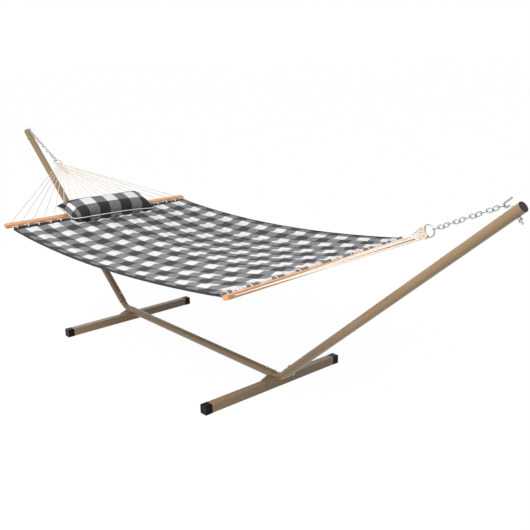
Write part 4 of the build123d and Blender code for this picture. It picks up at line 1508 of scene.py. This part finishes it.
@dataclass
class Studio:
    """White floor, soft light from all round with a broad key lamp, and the camera."""

    camera_place: tuple[float, float, float] = (3.7262, -2.6054, 1.8571)
    azimuth: float = math.radians(49.07)
    elevation: float = math.radians(15.997)
    roll: float = math.radians(-1.084)
    focal: float = 741.7548
    width: float = 530.0
    horizon: float = 0.13
    zenith: float = 0.75
    key: float = 262.0
    fill: float = 25.0
    key_place: tuple[float, float, float] = (1.5, -3.9, 4.6)
    fill_place: tuple[float, float, float] = (0.0, -5.0, 1.8)
    aim: tuple[float, float, float] = (0.0, 0.0, 0.6)
    sensor: float = 36.0
    floor_half: float = 90.0
    floor_lines: int = 13
    floor_tone: Rgba = (0.60, 0.60, 0.60, 1.0)
    floor_glow: float = 1.035
    floor_share: float = 0.94

    def place_camera(self) -> None:
        """Set the camera from its place, heading, pitch and roll."""
        az, el, ro = self.azimuth, self.elevation, self.roll
        back = Vector((math.sin(az) * math.cos(el), -math.cos(az) * math.cos(el), math.sin(el)))
        right = Vector((math.cos(az), math.sin(az), 0.0))
        up = back.cross(right)
        across = math.cos(ro) * right + math.sin(ro) * up
        rise = -math.sin(ro) * right + math.cos(ro) * up
        data = bpy.data.cameras.new("camera")
        data.sensor_fit = "HORIZONTAL"
        data.sensor_width = self.sensor
        data.lens = self.focal / self.width * self.sensor
        data.clip_end = 200.0
        camera = bpy.data.objects.new("camera", data)
        camera.matrix_world = Matrix((
            (across.x, rise.x, back.x, self.camera_place[0]), (across.y, rise.y, back.y, self.camera_place[1]),
            (across.z, rise.z, back.z, self.camera_place[2]), (0.0, 0.0, 0.0, 1.0)))
        bpy.context.scene.collection.objects.link(camera)
        bpy.context.scene.camera = camera

    def seen(self, graph: Graph) -> bpy.types.NodeSocket:
        """Whether a ray comes from the camera, a reflection or glass."""
        path = graph.add("LightPath").outputs
        both = graph.math("MAXIMUM", path["Is Camera Ray"], path["Is Glossy Ray"])
        return graph.math("MAXIMUM", both, path["Is Transmission Ray"])

    def light_world(self) -> None:
        """Soft light from all round, brightest overhead; the camera sees white."""
        world = bpy.data.worlds.new("studio")
        bpy.context.scene.world = world
        g = fresh_graph(world)
        upward = g.axes(g.add("TexCoord").outputs["Generated"])[2]
        glow = g.spread(g.math("MAXIMUM", upward, 0.0), self.horizon, self.zenith)
        seen = self.seen(g)
        strength = g.math("MULTIPLY_ADD", g.minus(1.0, glow), seen, glow)
        sky = g.add("Background", {"Color": WHITE, "Strength": strength})
        g.put(g.add("OutputWorld").inputs["Surface"], sky.outputs[0])

    def add_lamp(self, name: str, place: tuple[float, float, float], aim: tuple[float, float, float], size: float,
                 power: float) -> None:
        """Add a square soft box aimed at a point."""
        data = bpy.data.lights.new(name, "AREA")
        data.shape = "SQUARE"
        data.size = size
        data.energy = power
        lamp = bpy.data.objects.new(name, data)
        heading = Vector(aim) - Vector(place)
        lamp.matrix_world = Matrix.Translation(place) @ heading.to_track_quat("-Z", "Y").to_matrix().to_4x4()
        bpy.context.scene.collection.objects.link(lamp)

    def lay_floor(self) -> None:
        """Broad flat floor, a plain grid, that the camera sees as white with a soft shadow."""
        line = np.linspace(-self.floor_half, self.floor_half, self.floor_lines)
        u, v = np.meshgrid(line, line, indexing="ij")
        points = np.stack([u, v, np.full_like(u, -0.0005)], axis=2).reshape(-1, 3)
        quads = grid_quads(self.floor_lines, self.floor_lines, False, False)
        floor = build_piece("floor", points, [quads])
        material = bpy.data.materials.new("floor")
        g = fresh_graph(material)
        matte = g.add("BsdfDiffuse", {"Color": self.floor_tone})
        white = g.add("Emission", {"Color": WHITE, "Strength": self.floor_glow})
        share = g.times(self.seen(g), self.floor_share)
        both = g.add("MixShader", {0: share, 1: matte.outputs[0], 2: white.outputs[0]})
        g.put(g.add("OutputMaterial").inputs["Surface"], both.outputs[0])
        dress(floor, material)

    def build(self) -> None:
        """Build the studio."""
        bpy.context.scene.view_settings.view_transform = "Standard"
        self.place_camera()
        self.light_world()
        self.lay_floor()
        self.add_lamp("key", self.key_place, self.aim, 3.2, self.key)
        self.add_lamp("fill", self.fill_place, self.aim, 3.0, self.fill)


def middle(node: str) -> tuple[float, float]:
    """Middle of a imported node's box, along X and Z."""
    low, high = np.array(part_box(node))
    return tuple(((low + high) / 2)[[0, 2]])


def main() -> None:
    """Build the studio, dress the kept nodes and make the soft pieces."""
    logging.basicConfig(level=logging.INFO, format="%(name)s: %(message)s")
    effects = Effects()
    Studio().build()
    Fittings().dress_nodes(effects)
    rope = CottonRope().build(effects)
    bed = Bed()
    Suspension(End.HEAD, middle("ring_head"), middle("spreader_bar_head"), bed.head_rod,
               lacing_lift=0.013, lacing_swell=0.35).build(rope)
    Suspension(End.FOOT, middle("ring_foot"), middle("spreader_bar_foot"), bed.foot_rod,
               ring_turn=math.pi / 2, yaw=bed.foot_yaw).build(rope)
    # Past the head hem line the bed cloth is painted nearly black: a dark hem with a painted shadow of the gap under
    # the head bar.
    cloth = CheckCloth("bed cloth", pitch_u=0.1908, pitch_v=0.1686, shift_u=-0.971, shift_v=0.0843, edge=0.672,
                       last_u=1.1278, hem_shadow_u=-1.020).build(effects)
    tape = PlainCloth("binding cloth", (0.026, 0.025, 0.028, 1.0), (0.012, 0.012, 0.013, 1.0), 0.042,
                      0.010).build(effects)
    bed.build(cloth, tape)
    # The pillow's cover has painted shade on its downward faces.
    cover = CheckCloth("pillow cloth", pitch_u=0.1752, pitch_v=0.1908, shift_u=0.0, shift_v=0.1431,
                       dark=(0.025, 0.025, 0.027, 1.0), mixed=(0.135, 0.136, 0.144, 1.0), under=0.7).build(effects)
    cord = PlainCloth("piping cloth", (0.84, 0.84, 0.84, 1.0), (0.45, 0.45, 0.45, 1.0), 0.021, 0.030).build(effects)
    Pillow().build(bed, cover, cord)


if __name__ == "__main__":
    main()
